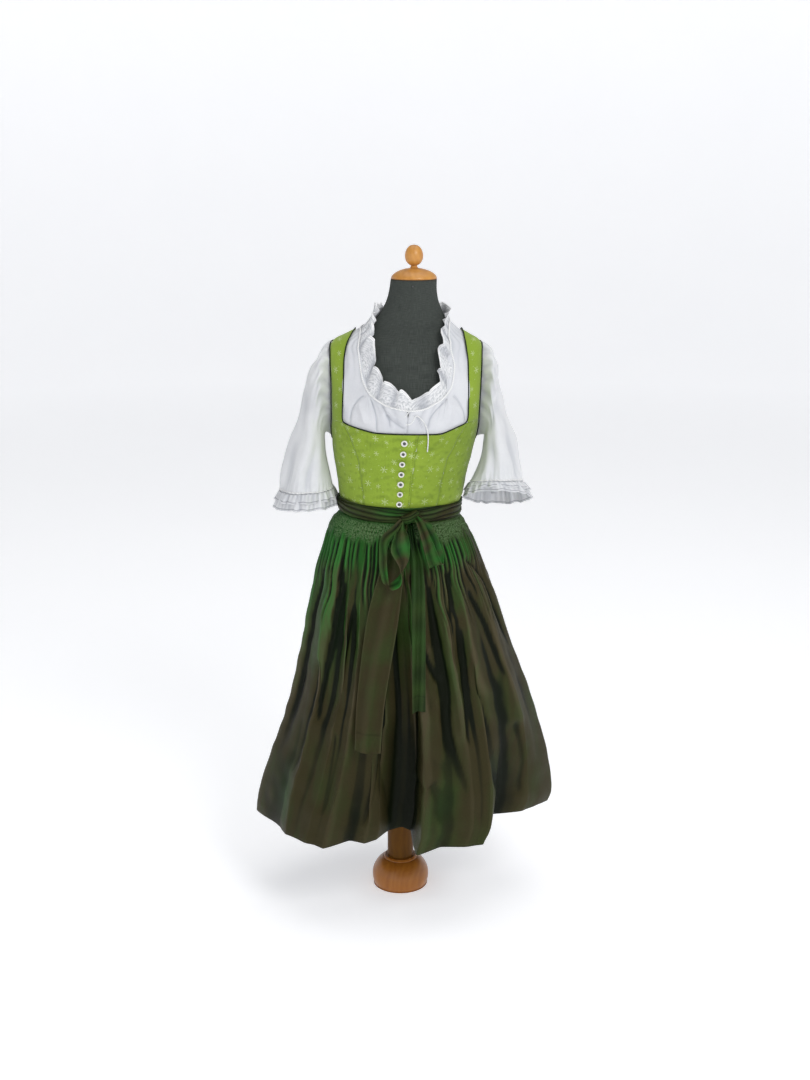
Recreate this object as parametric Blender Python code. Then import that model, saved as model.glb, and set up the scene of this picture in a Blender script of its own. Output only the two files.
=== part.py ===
# A dirndl set on a limbless dress form: white blouse, lime bodice, dark skirt and shot taffeta apron.
# Metres, Z up. The front faces -Y. Left and right are the wearer's, so the right side is at -X.
# Angles go round the figure: 0 is the centre front, -90 the right side and 90 the left side.
import math

import bpy
import numpy as np

for old in list(bpy.data.objects):
    bpy.data.objects.remove(old, do_unlink=True)

# Layers of cloth, each as (inner, outer) distance out from the form
BLOUSE = (0.0004, 0.0014)
BODICE = (0.0034, 0.0050)
FRILL_FOOT = 0.0023
FRILL_WALL = 0.0010
# The neck frill from its foot to its edge: distance past the casing line, share of its width, lift and wave
FRILL_STAND = (
    (-0.0015, 0, FRILL_FOOT, 0),
    (0.0035, 0, FRILL_FOOT, 0),
    (0, 0.55, 0.0055, 0.0008),
    (0, 1.0, 0.0085, 0.0020),
)
CASING = (0.0041, 0.0054)
PIPING = (0.0060, 0.0072)
PIPING_WIDTH, PIPING_INSET = 0.0028, 0.0018
BUTTON = (0.0054, 0.0084)
BAND = (0.0072, 0.0090)
TIES = (0.0104, 0.0118)
FORM_INSET = 0.0015
SHOULDER_INSET = 0.0080
SEAM_GAP = 0.0003
SKIRT_SEAM_GAP = 0.0008
RIDGE_LIFT = 0.0010

APRON_WALL = 0.0016
SKIRT_WALL = 0.0014
SKIRT_CLEAR = (0.0006, 0.0026)
SKIRT_FALL_IN = 0.016
SLEEVE_WALL = 0.0013
RIBBON = 0.0016

BODICE_BOTTOM = 0.8475
BAND_BOTTOM, BAND_TOP = 0.8350, 0.8670
TIES_BOTTOM, TIES_TOP = 0.8390, 0.8630
SKIRT_TOP = 0.8470
WAIST = 0.8500
SKIRT_DROP = 0.0060
BLOUSE_BOTTOM = 0.9300
NECK_TOP = 1.3105
SHOULDER_SPAN = (1.09, 1.15, 1.205, 1.225)
POST_RADIUS = 0.0280
FOOT_TOP = 0.0660

# The bare form: height, centre x, centre y, half width, depth to the front and depth to the back
FORM_COLUMNS = ("z", "cx", "cy", "half", "front", "back")
FORM_ROWS = [
    (0.620, 0.000, 0.000, 0.122, 0.086, 0.095),
    (0.640, 0.000, 0.000, 0.138, 0.096, 0.106),
    (0.680, 0.000, 0.000, 0.146, 0.103, 0.115),
    (0.720, 0.000, 0.000, 0.146, 0.104, 0.117),
    (0.760, -0.001, 0.000, 0.1330, 0.0990, 0.1090),
    (0.800, -0.001, 0.000, 0.1180, 0.0910, 0.0940),
    (0.825, -0.001, 0.000, 0.1130, 0.0870, 0.0865),
    (0.850, -0.001, 0.000, 0.1150, 0.0890, 0.0880),
    (0.880, 0.0015, 0.000, 0.1220, 0.0930, 0.0880),
    (0.920, 0.003, 0.000, 0.1280, 0.1010, 0.091),
    (0.960, 0.005, 0.000, 0.1360, 0.1110, 0.095),
    (1.000, 0.008, 0.000, 0.1420, 0.1200, 0.099),
    (1.030, 0.010, 0.000, 0.1450, 0.1225, 0.103),
    (1.070, 0.011, 0.001, 0.1480, 0.1150, 0.107),
    (1.110, 0.012, 0.003, 0.1500, 0.0980, 0.108),
    (1.150, 0.012, 0.006, 0.1500, 0.0810, 0.099),
    (1.175, 0.012, 0.008, 0.1490, 0.0700, 0.084),
    (1.187, 0.013, 0.009, 0.1410, 0.0640, 0.075),
    (1.198, 0.015, 0.010, 0.1210, 0.0590, 0.068),
    (1.208, 0.017, 0.011, 0.1020, 0.0560, 0.063),
    (1.222, 0.020, 0.012, 0.0830, 0.0530, 0.058),
    (1.236, 0.022, 0.012, 0.0700, 0.0505, 0.054),
    (1.252, 0.024, 0.012, 0.0605, 0.0490, 0.051),
    (1.270, 0.025, 0.012, 0.0530, 0.0480, 0.049),
    (1.290, 0.026, 0.012, 0.0490, 0.0475, 0.0475),
    (NECK_TOP, 0.0275, 0.012, 0.0475, 0.0470, 0.0470),
]

# The hang of the apron as plain ovals: height, centre x, half width, depth to the front and to the back
HANG_COLUMNS = ("z", "cx", "half", "front", "back")
HANG_ROWS = [
    (0.150, -0.002, 0.3080, 0.2520, 0.2500),
    (0.183, -0.002, 0.3120, 0.2500, 0.2480),
    (0.220, 0.008, 0.3180, 0.2470, 0.2450),
    (0.258, 0.012, 0.3125, 0.2420, 0.2400),
    (0.3135, 0.017, 0.2985, 0.2310, 0.2300),
    (0.369, 0.019, 0.2810, 0.2180, 0.2190),
    (0.423, 0.0195, 0.2635, 0.2050, 0.2070),
    (0.4775, 0.0185, 0.2465, 0.1920, 0.1960),
    (0.531, 0.014, 0.2310, 0.1800, 0.1850),
    (0.584, 0.011, 0.2160, 0.1690, 0.1750),
    (0.6375, 0.007, 0.2030, 0.1580, 0.1650),
    (0.690, 0.004, 0.1860, 0.1450, 0.1540),
    (0.725, 0.000, 0.1740, 0.1350, 0.1450),
    (0.760, -0.001, 0.1610, 0.1250, 0.1330),
    (0.795, -0.003, 0.1480, 0.1150, 0.1200),
    (0.815, -0.004, 0.1385, 0.1080, 0.1110),
    (0.827, -0.002, 0.1300, 0.1015, 0.1010),
    (0.8342, -0.001, 0.1204, 0.0938, 0.0928),
    (0.8475, -0.001, 0.1202, 0.0936, 0.0926),
]

# Folds of the apron, right to left. Each has its angle and its swell at four heights, and its hem's height.
# A swell of 1 lies on the plain oval, less is a valley and more is a ridge.
FOLD_HEIGHTS = (0.730, 0.600, 0.400, 0.190)
FOLD_COLUMNS = ("angle_top", "angle_low", "at_730", "at_600", "at_400", "at_190", "hem")
FOLD_ROWS = [
    (-104, -104, 1.00, 1.00, 1.00, 0.99, 0.188),
    (-83, -83, 1.00, 1.00, 1.00, 0.998, 0.183),
    (-68, -59, 0.99, 0.97, 0.96, 0.930, 0.186),
    (-54, -50, 1.00, 1.02, 1.02, 0.985, 0.188),
    (-41, -45, 0.97, 0.92, 0.93, 0.970, 0.190),
    (-36, -37, 1.00, 1.00, 1.00, 1.020, 0.190),
    (-31, -33, 0.98, 0.93, 0.94, 0.985, 0.190),
    (-26, -28.5, 1.00, 1.01, 1.02, 1.032, 0.188),
    (-20, -22.5, 0.99, 0.98, 0.94, 0.850, 0.191),
    (-13, -15.5, 1.00, 1.00, 0.98, 0.860, 0.190),
    (-8.5, -10.5, 0.99, 0.97, 0.88, 0.790, 0.194),
    (-3.5, -4.5, 0.97, 0.88, 0.72, 0.630, 0.202),
    (5.5, 6.4, 1.01, 1.03, 1.03, 1.000, 0.184),
    (18, 17.0, 0.97, 0.93, 0.92, 0.880, 0.189),
    (25, 26, 1.00, 1.01, 1.00, 0.985, 0.190),
    (34, 29.5, 0.97, 0.95, 0.94, 0.980, 0.190),
    (41, 33, 1.00, 1.01, 1.01, 1.005, 0.190),
    (49, 53, 0.98, 0.96, 0.90, 0.700, 0.208),
    (62, 66, 1.00, 1.00, 0.99, 0.870, 0.208),
    (74, 76, 0.98, 0.97, 0.97, 0.930, 0.206),
    (86, 86, 1.00, 1.00, 1.01, 1.010, 0.200),
    (104, 104, 1.00, 1.00, 1.00, 0.99, 0.190),
]
STEPS_PER_FOLD = 2
APRON_HEIGHTS = (0.8342, 0.827, 0.800, 0.760, 0.710, 0.600, 0.500, 0.390, 0.285)
BACK_FOLDS = 6
BACK_SWELL = 0.035

# The skirt is seamed at the sides, behind the apron's edges
SIDE_ANGLE = 112.0
EDGE_SWELL = 0.985
REACH_ANGLE, REACH_HEIGHT = 9.0, 0.08

# Sleeves as rings: outer x and height, inner x and height, middle y, half depth, and drop toward the back
SLEEVE_COLUMNS = ("outer_x", "outer_z", "inner_x", "inner_z", "mid_y", "half_y", "tilt")
SLEEVE_RIGHT = [
    (-0.1630, 1.163, -0.1525, 1.002, 0.004, 0.050, 0.00),
    (-0.1850, 1.118, -0.1530, 0.965, 0.004, 0.062, 0.00),
    (-0.2080, 1.040, -0.1490, 0.940, 0.002, 0.070, 0.00),
    (-0.2290, 0.964, -0.1430, 0.915, 0.000, 0.075, -0.05),
    (-0.2450, 0.884, -0.1390, 0.889, 0.000, 0.078, -0.05),
]
SLEEVE_LEFT = [
    (0.1880, 1.166, 0.1720, 0.997, 0.004, 0.052, 0.00),
    (0.1980, 1.115, 0.1700, 0.972, 0.004, 0.063, 0.00),
    (0.2130, 1.045, 0.1660, 0.950, 0.002, 0.070, -0.04),
    (0.2320, 0.980, 0.1580, 0.930, 0.000, 0.075, -0.12),
    (0.2525, 0.900, 0.1450, 0.900, 0.000, 0.078, -0.22),
]
FRILL_RIGHT = [
    (-0.2452, 0.8834, -0.1388, 0.8884, 0.000, 0.0785, -0.05),
    (-0.2530, 0.8660, -0.1330, 0.8700, 0.000, 0.0820, -0.05),
    (-0.2590, 0.8490, -0.1300, 0.8530, 0.000, 0.0850, -0.06),
]
FRILL_LEFT = [
    (0.2527, 0.8994, 0.1448, 0.8994, 0.000, 0.0785, -0.22),
    (0.2630, 0.8830, 0.1370, 0.8840, 0.000, 0.0820, -0.30),
    (0.2710, 0.8650, 0.1330, 0.8680, 0.000, 0.0850, -0.38),
]
FRILL_WAVE = 0.05
ARMHOLE_MIDDLE = (-98.0, 1.088)
ARMHOLE_RINGS = ((0.97, 0.99, 0.0030), (0.90, 0.96, 0.0052))

# Edges of the panels, as (angle, height)
CASING_LINE = [
    (-90, 1.2135), (-66, 1.208), (-49.5, 1.198), (-40, 1.187), (-37.8, 1.167), (-34.5, 1.120),
    (-28.2, 1.092), (-14.3, 1.072), (2, 1.063), (13.3, 1.065), (29, 1.084), (36.6, 1.106),
    (39.2, 1.145), (35, 1.181), (41, 1.198), (50, 1.208), (64.6, 1.222),
    (90, 1.2315), (135, 1.224), (180, 1.216), (225, 1.2135),
]
FRILL_LINE = [
    (-90, 1.252), (-70, 1.236), (-52.7, 1.222), (-41, 1.208), (-32.5, 1.198), (-26.5, 1.187),
    (-24, 1.170), (-22, 1.138), (-14, 1.1115), (-3, 1.100), (4.5, 1.080), (17.7, 1.104),
    (25, 1.112), (24, 1.147), (25, 1.167), (26.5, 1.187), (37.4, 1.208), (47.3, 1.222),
    (62, 1.236), (90, 1.254), (135, 1.256), (180, 1.255), (225, 1.252),
]
ARMHOLE_FRONT = [(-96, 0.990), (-88, 1.008), (-80, 1.045), (-78, 1.100), (-78, 1.150), (-90, 1.1790)]
ARMHOLE_BACK = [(-96, 0.990), (-108, 1.010), (-118, 1.060), (-118, 1.120), (-108, 1.165), (-90, 1.1790)]
STRAP_FRONT_BASE, STRAP_BACK_BASE = 1.0345, 1.1006
BACK_TOP, BACK_MIDDLE = 1.1000, 1.0800
STRAP_INNER = (0.1215, 0.1210, 0.1045, 0.1060, 0.1000)
STRAP_OUTER = (0.1430, 0.1470, 0.1470, 0.1370, 0.1310)
STRAP_REACH = 0.1500
PLACKET = [(8.5, BODICE_BOTTOM), (9.0, 0.93), (10.5, 1.019)]
PRINCESS_RIGHT = [(-37, BODICE_BOTTOM), (-37, 0.90), (-39, 0.965), (-47, 1.008), (-55.5, STRAP_FRONT_BASE)]
PRINCESS_LEFT = [(37, BODICE_BOTTOM), (37, 0.90), (39, 0.965), (47, 1.008), (55.5, STRAP_FRONT_BASE)]
SIDE_TOP = (-81.0, STRAP_FRONT_BASE)
NECKLINE_RIGHT = [
    (-55.5, STRAP_FRONT_BASE), (-44.4, 1.0293), (-30.8, 1.0236), (-23.9, 1.0203), (-11.2, 1.0199), (10.5, 1.019),
]
NECKLINE_LEFT = [(10.5, 1.019), (29.6, 1.0176), (35.7, 1.0229), (43.4, 1.0285), (55.5, STRAP_FRONT_BASE)]

# Seven buttons down the placket
BUTTON_TOP, BUTTON_BOTTOM, BUTTON_COUNT = 1.0030, 0.8750, 7
BUTTON_ANGLES = (0.2, -1.2)
BUTTON_SIDES = 14
BUTTON_RADIUS = 0.0063
BUTTON_PROFILE = ((0.80, 0.0), (1.0, 0.3), (1.0, 0.7), (0.82, 1.0), (0.55, 0.72))

# Ties at the front
KNOT = (0.016, -0.1031, 0.8480)
KNOT_HALF = (0.011, 0.0085, 0.012)
KNOT_LIFTS, KNOT_SIDES = (-1.0, -0.75, -0.25, 0.25, 0.75, 1.0), 12
# Each loop runs round from the knot and back, as (x, y, z) of one edge of the ribbon and (x, y, z) of the other
LOOP_RIGHT = [
    (0.0040, -0.1045, 0.8470, 0.0040, -0.1090, 0.8390), (-0.0158, -0.1180, 0.8327, -0.0039, -0.1280, 0.8270),
    (-0.0376, -0.1300, 0.8132, -0.0217, -0.1380, 0.8050), (-0.0415, -0.1400, 0.7789, -0.0257, -0.1440, 0.7718),
    (-0.0395, -0.1510, 0.7488, -0.0237, -0.1550, 0.7396), (-0.0296, -0.1570, 0.7258, -0.0176, -0.1720, 0.7180),
    (-0.0058, -0.1560, 0.7375, 0.0021, -0.1740, 0.7283), (0.0159, -0.1510, 0.7693, 0.0002, -0.1700, 0.7619),
    (0.0199, -0.1460, 0.7968, -0.0175, -0.1620, 0.7929), (0.0169, -0.1320, 0.8178, -0.0117, -0.1440, 0.8167),
    (0.0085, -0.1160, 0.8320, -0.0040, -0.1185, 0.8330),
]
LOOP_LEFT = [
    (0.0350, -0.1040, 0.8500, 0.0279, -0.1040, 0.8440), (0.0618, -0.1120, 0.8374, 0.0399, -0.1120, 0.8333),
    (0.0756, -0.1220, 0.8112, 0.0518, -0.1220, 0.8050), (0.0855, -0.1320, 0.7850, 0.0597, -0.1320, 0.7768),
    (0.0874, -0.1420, 0.7651, 0.0596, -0.1420, 0.7589), (0.0830, -0.1560, 0.7668, 0.0574, -0.1560, 0.7607),
    (0.0710, -0.1580, 0.7959, 0.0494, -0.1580, 0.7898), (0.0593, -0.1460, 0.8213, 0.0416, -0.1460, 0.8152),
    (0.0477, -0.1230, 0.8434, 0.0330, -0.1230, 0.8400), (0.0365, -0.1105, 0.8530, 0.0281, -0.1100, 0.8450),
]
TAIL_COLUMNS = ("z", "left", "right")
TAIL_RIGHT = [
    (0.8355, 0.000, 0.0150), (0.790, -0.022, 0.011), (0.730, -0.045, 0.006), (0.656, -0.065, -0.003),
    (0.560, -0.079, -0.019), (0.470, -0.088, -0.033), (0.392, -0.091, -0.039),
]
TAIL_LEFT = [
    (0.8355, 0.0170, 0.0260), (0.800, 0.0215, 0.0340), (0.760, 0.0260, 0.0450), (0.700, 0.027, 0.050),
    (0.590, 0.029, 0.051), (0.475, 0.031, 0.051),
]
TAIL_FLOAT, TAIL_LIFT = 1.045, 0.0045

# The drawstring's own path, as (angle, height, distance out)
DRAWSTRING = [
    (3.0, 1.0630, 0.0070), (0.5, 1.0550, 0.0046), (-2.0, 1.0460, 0.0034), (0.5, 1.0390, 0.0034),
    (4.5, 1.0410, 0.0036), (6.5, 1.0490, 0.0040), (8.5, 1.0545, 0.0045), (12.0, 1.0490, 0.0042),
    (15.5, 1.0370, 0.0052), (17.2, 1.0240, 0.0082), (18.0, 1.0120, 0.0084), (18.5, 1.0000, 0.0074),
    (18.8, 0.9860, 0.0070),
]
DRAWSTRING_RADIUS = 0.0011
DRAWSTRING_POINTS = 56

# Turned parts, as (radius, height)
FOOT_PROFILE = [
    (0.0520, 0.0), (0.0560, 0.003), (0.0600, 0.012), (0.0612, 0.022), (0.0596, 0.034), (0.0545, 0.045),
    (0.0460, 0.055), (0.0370, 0.0625), (0.0310, FOOT_TOP),
]
CAP_PROFILE = [
    (0.0440, NECK_TOP + 0.0003), (0.0456, 1.3125), (0.0440, 1.3170), (0.0380, 1.3225), (0.0290, 1.3272),
    (0.0180, 1.3305), (0.0090, 1.3322), (0.0065, 1.3350), (0.0065, 1.3370),
]
FINIAL_PROFILE = [
    (0.0060, 1.3373), (0.0110, 1.3395), (0.0158, 1.3450), (0.0182, 1.3530), (0.0178, 1.3610),
    (0.0145, 1.3695), (0.0085, 1.3755), (0.0025, 1.3775),
]
CAP_PLACE = (0.0279, 0.012)

# How finely each piece is divided
TURNED_SIDES = 32
FORM_SIDES = 36
FORM_STEP = 0.035
BLOUSE_GRID = (12, 13)
BLOUSE_BACK_GRID = (20, 12)
BODICE_GRID = (6, 9)
LAPPED_FRONT_COLUMNS = 9
BODICE_BACK_GRID = (19, 9)
TOWARD_NECK = 1.5
NECK_COLUMNS = 52
NECK_WAVES = 13
NECKLINE_POINTS, ARMHOLE_POINTS = 64, 32
STRAP_STEPS = 8
STRAP_COLUMNS = 4
WAIST_COLUMNS = 48
LOOP_POINTS = 24
TAIL_STEPS, TAIL_COLUMNS_ACROSS = 11, 4
SLEEVE_COLUMNS_ROUND = 18
FRILL_COLUMNS_ROUND = 28
FRILL_WAVES = 7
SKIRT_HEIGHTS = (SKIRT_TOP + 0.0005, 0.8360, 0.8332, 0.826, 0.800, 0.740, 0.620, 0.480, 0.330, 0.184)
SKIRT_FRONT_STEP = 11.2

FINISHES = {
    "form_linen": ((0.055, 0.062, 0.055), 0.92, 0.0),
    "honey_wood": ((0.60, 0.26, 0.06), 0.38, 0.0),
    "dark_wood": ((0.25, 0.08, 0.015), 0.35, 0.0),
    "white_cotton": ((0.74, 0.76, 0.78), 0.90, 0.0),
    "frill_voile": ((0.76, 0.77, 0.79), 0.85, 0.0),
    "white_cord": ((0.82, 0.82, 0.80), 0.80, 0.0),
    "lime_cotton": ((0.26, 0.38, 0.02), 0.88, 0.0),
    "dark_piping": ((0.025, 0.035, 0.020), 0.60, 0.0),
    "ringed_button": ((0.75, 0.75, 0.72), 0.35, 0.2),
    "dark_skirt": ((0.012, 0.014, 0.012), 0.90, 0.0),
    "shot_taffeta": ((0.045, 0.050, 0.022), 0.35, 0.1),
}


class Table:
    """Rows with named columns, read at any height along a smooth line that never overshoots."""

    def __init__(self, columns, rows):
        data = np.array(sorted(rows), float)
        self.key = data[:, 0]
        self.values = {name: data[:, i] for i, name in enumerate(columns)}
        self.slopes = {name: self.slope(values) for name, values in self.values.items()}

    def slope(self, values):
        steps = np.diff(values) / np.diff(self.key)
        slopes = np.zeros(len(values))
        for i in range(1, len(values) - 1):
            before, after = steps[i - 1], steps[i]
            if before * after > 0:
                slopes[i] = 2 * before * after / (before + after)
        slopes[0], slopes[-1] = steps[0], steps[-1]
        return slopes

    def at(self, name, key):
        key = np.clip(key, self.key[0], self.key[-1])
        i = np.clip(np.searchsorted(self.key, key) - 1, 0, len(self.key) - 2)
        step = self.key[i + 1] - self.key[i]
        t = (key - self.key[i]) / step
        a, b = self.values[name][i], self.values[name][i + 1]
        da, db = self.slopes[name][i] * step, self.slopes[name][i + 1] * step
        return (
            a * (1 + 2 * t) * (1 - t) ** 2
            + da * t * (1 - t) ** 2
            + b * t * t * (3 - 2 * t)
            - db * t * t * (1 - t)
        )


form = Table(FORM_COLUMNS, FORM_ROWS)
hang = Table(HANG_COLUMNS, HANG_ROWS)


def on_form(z, angle):
    z, turn = np.broadcast_arrays(np.asarray(z, float), np.radians(angle))
    depth = np.where(np.cos(turn) > 0, form.at("front", z), form.at("back", z))
    return np.stack(
        [
            form.at("cx", z) + form.at("half", z) * np.sin(turn),
            form.at("cy", z) - depth * np.cos(turn),
            z,
        ],
        axis=-1,
    )


def outward(point_at, z, angle):
    """Unit vectors straight out of a surface that is given by height and angle."""
    up = point_at(np.asarray(z) + 0.0005, angle) - point_at(np.asarray(z) - 0.0005, angle)
    along = point_at(z, np.asarray(angle) + 0.2) - point_at(z, np.asarray(angle) - 0.2)
    normal = np.cross(along, up)
    return normal / np.linalg.norm(normal, axis=-1, keepdims=True)


def over_form(z, angle, out):
    return on_form(z, angle) + outward(on_form, z, angle) * np.asarray(out)[..., None]


def spaced(count, toward_end):
    return 1 - (1 - np.linspace(0, 1, count)) ** toward_end


def resample(points, count, toward_end=1.0):
    """Points along a line, at even steps or nearer together toward its end."""
    points = np.array(points, float)
    scale = np.array([0.0024, 1.0] + [1.0] * (points.shape[1] - 2))
    lengths = np.linalg.norm(np.diff(points * scale, axis=0), axis=1)
    along = np.concatenate([[0], np.cumsum(lengths)])
    wanted = along[-1] * spaced(count, toward_end)
    return np.stack([np.interp(wanted, along, points[:, i]) for i in range(points.shape[1])], axis=-1)


def patch(bottom, top, first, last, columns, rows, toward_top=1.0):
    """A grid of (angle, height) between four edges, with its rows nearer together toward the top."""
    low, high = resample(bottom, columns), resample(top, columns)
    start, end = resample(first, rows, toward_top), resample(last, rows, toward_top)
    u = np.linspace(0, 1, columns)[None, :, None]
    v = spaced(rows, toward_top)[:, None, None]
    corners = (
        (1 - u) * (1 - v) * low[0] + u * (1 - v) * low[-1] + (1 - u) * v * high[0] + u * v * high[-1]
    )
    return (1 - v) * low[None] + v * high[None] + (1 - u) * start[:, None] + u * end[:, None] - corners


def signed_volume(points, faces):
    total = 0.0
    for face in faces:
        for i in range(1, len(face) - 1):
            total += np.dot(points[face[0]], np.cross(points[face[i]], points[face[i + 1]]))
    return total


def finish_of(name):
    material = bpy.data.materials.new(name)
    material.use_nodes = True
    shader = material.node_tree.nodes["Principled BSDF"]
    colour, roughness, metallic = FINISHES[name]
    shader.inputs["Base Color"].default_value = (*colour, 1.0)
    shader.inputs["Roughness"].default_value = roughness
    shader.inputs["Metallic"].default_value = metallic
    return material


def add_solid(name, points, faces, finish):
    points = np.asarray(points, float)
    if signed_volume(points, faces) < 0:
        faces = [face[::-1] for face in faces]
    mesh = bpy.data.meshes.new(name)
    mesh.from_pydata([tuple(map(float, p)) for p in points], [], faces)
    mesh.materials.append(finish_of(finish))
    solid = bpy.data.objects.new(name, mesh)
    bpy.context.scene.collection.objects.link(solid)
    return solid


def add_stack(name, rings, finish):
    """A solid through rings of equal length, closed by the first and the last."""
    sides = len(rings[0])
    top = (len(rings) - 1) * sides
    faces = [list(range(sides))[::-1], list(range(top, top + sides))]
    for low in range(0, top, sides):
        for i in range(sides):
            j = (i + 1) % sides
            faces.append([low + i, low + j, low + sides + j, low + sides + i])
    return add_solid(name, np.concatenate(rings), faces, finish)


def drawn_in(grid, by):
    """The grid with its free edges pulled back along the cloth, so that neighbours stay apart."""
    grid = grid.copy()
    for edge, beside in ((0, 1), (-1, -2)):
        for swap in (False, True):
            view = grid.swapaxes(0, 1) if swap else grid
            step = view[beside] - view[edge]
            view[edge] += step / np.linalg.norm(step, axis=-1, keepdims=True) * by
    return grid


def add_wall(name, outer, inner, finish, closed=False):
    """A wall of cloth between two grids. A closed one runs right round in its columns.

    Both sides are split along the same diagonals, so the wall keeps its thickness where it twists.
    """
    rows, columns = outer.shape[:2]
    points = np.concatenate([outer.reshape(-1, 3), inner.reshape(-1, 3)])
    count = rows * columns
    spans = columns if closed else columns - 1

    def at(row, column):
        return row * columns + column % columns

    faces = []
    for row in range(rows - 1):
        for column in range(spans):
            a, b, c, d = at(row, column), at(row, column + 1), at(row + 1, column + 1), at(row + 1, column)
            if np.linalg.norm(points[a] - points[c]) <= np.linalg.norm(points[b] - points[d]):
                split = [a, b, c], [a, c, d]
            else:
                split = [a, b, d], [b, c, d]
            for triangle in split:
                faces.append(triangle)
                faces.append([count + i for i in reversed(triangle)])
    for column in range(spans):
        for row, turned in ((0, True), (rows - 1, False)):
            low, high = at(row, column), at(row, column + 1)
            rim = [low, high, count + high, count + low]
            faces.append(rim[::-1] if turned else rim)
    if not closed:
        for row in range(rows - 1):
            for column, turned in ((0, False), (columns - 1, True)):
                low, high = at(row, column), at(row + 1, column)
                rim = [low, high, count + high, count + low]
                faces.append(rim[::-1] if turned else rim)
    return add_solid(name, points, faces, finish)


def add_panel(name, grid, layer, finish, closed=False, gap=SEAM_GAP):
    lift = grid[..., 2] if grid.shape[-1] > 2 else np.zeros(grid.shape[:2])
    inner, outer = (over_form(grid[..., 1], grid[..., 0], side + lift) for side in layer)
    if not closed:
        inner, outer = drawn_in(inner, gap), drawn_in(outer, gap)
    return add_wall(name, outer, inner, finish, closed)


def add_turned(name, profile, place, finish):
    turns = np.linspace(0, 2 * math.pi, TURNED_SIDES, endpoint=False)
    rings = [[(place[0] + r * math.cos(t), place[1] + r * math.sin(t), z) for t in turns] for r, z in profile]
    return add_stack(name, rings, finish)


def add_strip(name, middle, out, width, thickness, finish, closed=False):
    """A flat band along a path, with its flat side facing the out vectors."""
    after, before = np.roll(middle, -1, axis=0), np.roll(middle, 1, axis=0)
    along = after - before
    if not closed:
        along[0], along[-1] = middle[1] - middle[0], middle[-1] - middle[-2]
    along /= np.linalg.norm(along, axis=-1, keepdims=True)
    side = np.cross(along, out)
    side /= np.linalg.norm(side, axis=-1, keepdims=True)
    face = np.cross(side, along)
    rows = []
    for across, lift in ((-1, 1), (1, 1), (1, -1), (-1, -1)):
        rows.append(middle + side * across * (width / 2) + face * lift * thickness / 2)
    ring = np.stack(rows, axis=1)
    count = len(middle)
    points = ring.reshape(-1, 3)
    faces = []
    for i in range(count if closed else count - 1):
        j = (i + 1) % count
        for k in range(4):
            n = (k + 1) % 4
            faces.append([4 * i + k, 4 * i + n, 4 * j + n, 4 * j + k])
    if not closed:
        faces.append([3, 2, 1, 0])
        faces.append([4 * (count - 1) + k for k in range(4)])
    return add_solid(name, points, faces, finish)


def mirrored(line):
    return [(-angle, *rest) for angle, *rest in line]


# The form, with the rows of its table and one row between each two
form_heights = sorted({row[0] for row in FORM_ROWS} | {
    (a[0] + b[0]) / 2 for a, b in zip(FORM_ROWS, FORM_ROWS[1:]) if b[0] - a[0] > FORM_STEP
})
form_turns, form_levels = np.meshgrid(np.linspace(0, 360, FORM_SIDES, endpoint=False), form_heights)
shoulder = np.interp(form_levels, SHOULDER_SPAN, (0, 1, 1, 0))
form_rings = over_form(form_levels, form_turns, -FORM_INSET - SHOULDER_INSET * shoulder)
form_rings[0, :, 2], form_rings[-1, :, 2] = form_heights[0], form_heights[-1]
add_stack("form_torso", form_rings, "form_linen")

add_turned("stand_foot", FOOT_PROFILE, (0, 0), "dark_wood")
post_ends = (FOOT_TOP + 0.0003, FORM_ROWS[0][0] - 0.0003)
add_turned("stand_post", [(POST_RADIUS, z) for z in post_ends], (0, 0), "honey_wood")
add_turned("neck_cap", CAP_PROFILE, CAP_PLACE, "honey_wood")
add_turned("neck_finial", FINIAL_PROFILE, CAP_PLACE, "honey_wood")

# Blouse body: two fronts that meet in the slit, and one back, joined on the shoulder ridge
casing_right = [p for p in CASING_LINE if p[0] <= 2]
casing_left = [p for p in CASING_LINE if 2 <= p[0] <= 90]
casing_back = [p for p in CASING_LINE if p[0] >= 90] + [(270, CASING_LINE[0][1])]
ridge_right, ridge_left = (-90, 1.1790), (90, 1.1790)
slit_foot = (0.5, BLOUSE_BOTTOM)
add_panel(
    "blouse_front_right",
    patch(
        [(-96, BLOUSE_BOTTOM), slit_foot],
        [ridge_right, *casing_right],
        [(-96, BLOUSE_BOTTOM), *ARMHOLE_FRONT],
        [slit_foot, (2, 1.063)],
        *BLOUSE_GRID,
        TOWARD_NECK,
    ),
    BLOUSE,
    "white_cotton",
)
add_panel(
    "blouse_front_left",
    patch(
        [slit_foot, (96, BLOUSE_BOTTOM)],
        [*casing_left, ridge_left],
        [slit_foot, (2, 1.063)],
        [(96, BLOUSE_BOTTOM), *mirrored(ARMHOLE_FRONT)],
        *BLOUSE_GRID,
        TOWARD_NECK,
    ),
    BLOUSE,
    "white_cotton",
)
around = [(360 + angle, z) for angle, z in ARMHOLE_BACK]
add_panel(
    "blouse_back",
    patch(
        [(96, BLOUSE_BOTTOM), (264, BLOUSE_BOTTOM)],
        [ridge_left, *casing_back, (270, 1.1790)],
        [(96, BLOUSE_BOTTOM), *mirrored(ARMHOLE_BACK)],
        [(264, BLOUSE_BOTTOM), *around],
        *BLOUSE_BACK_GRID,
        TOWARD_NECK,
    ),
    BLOUSE,
    "white_cotton",
)

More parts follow.
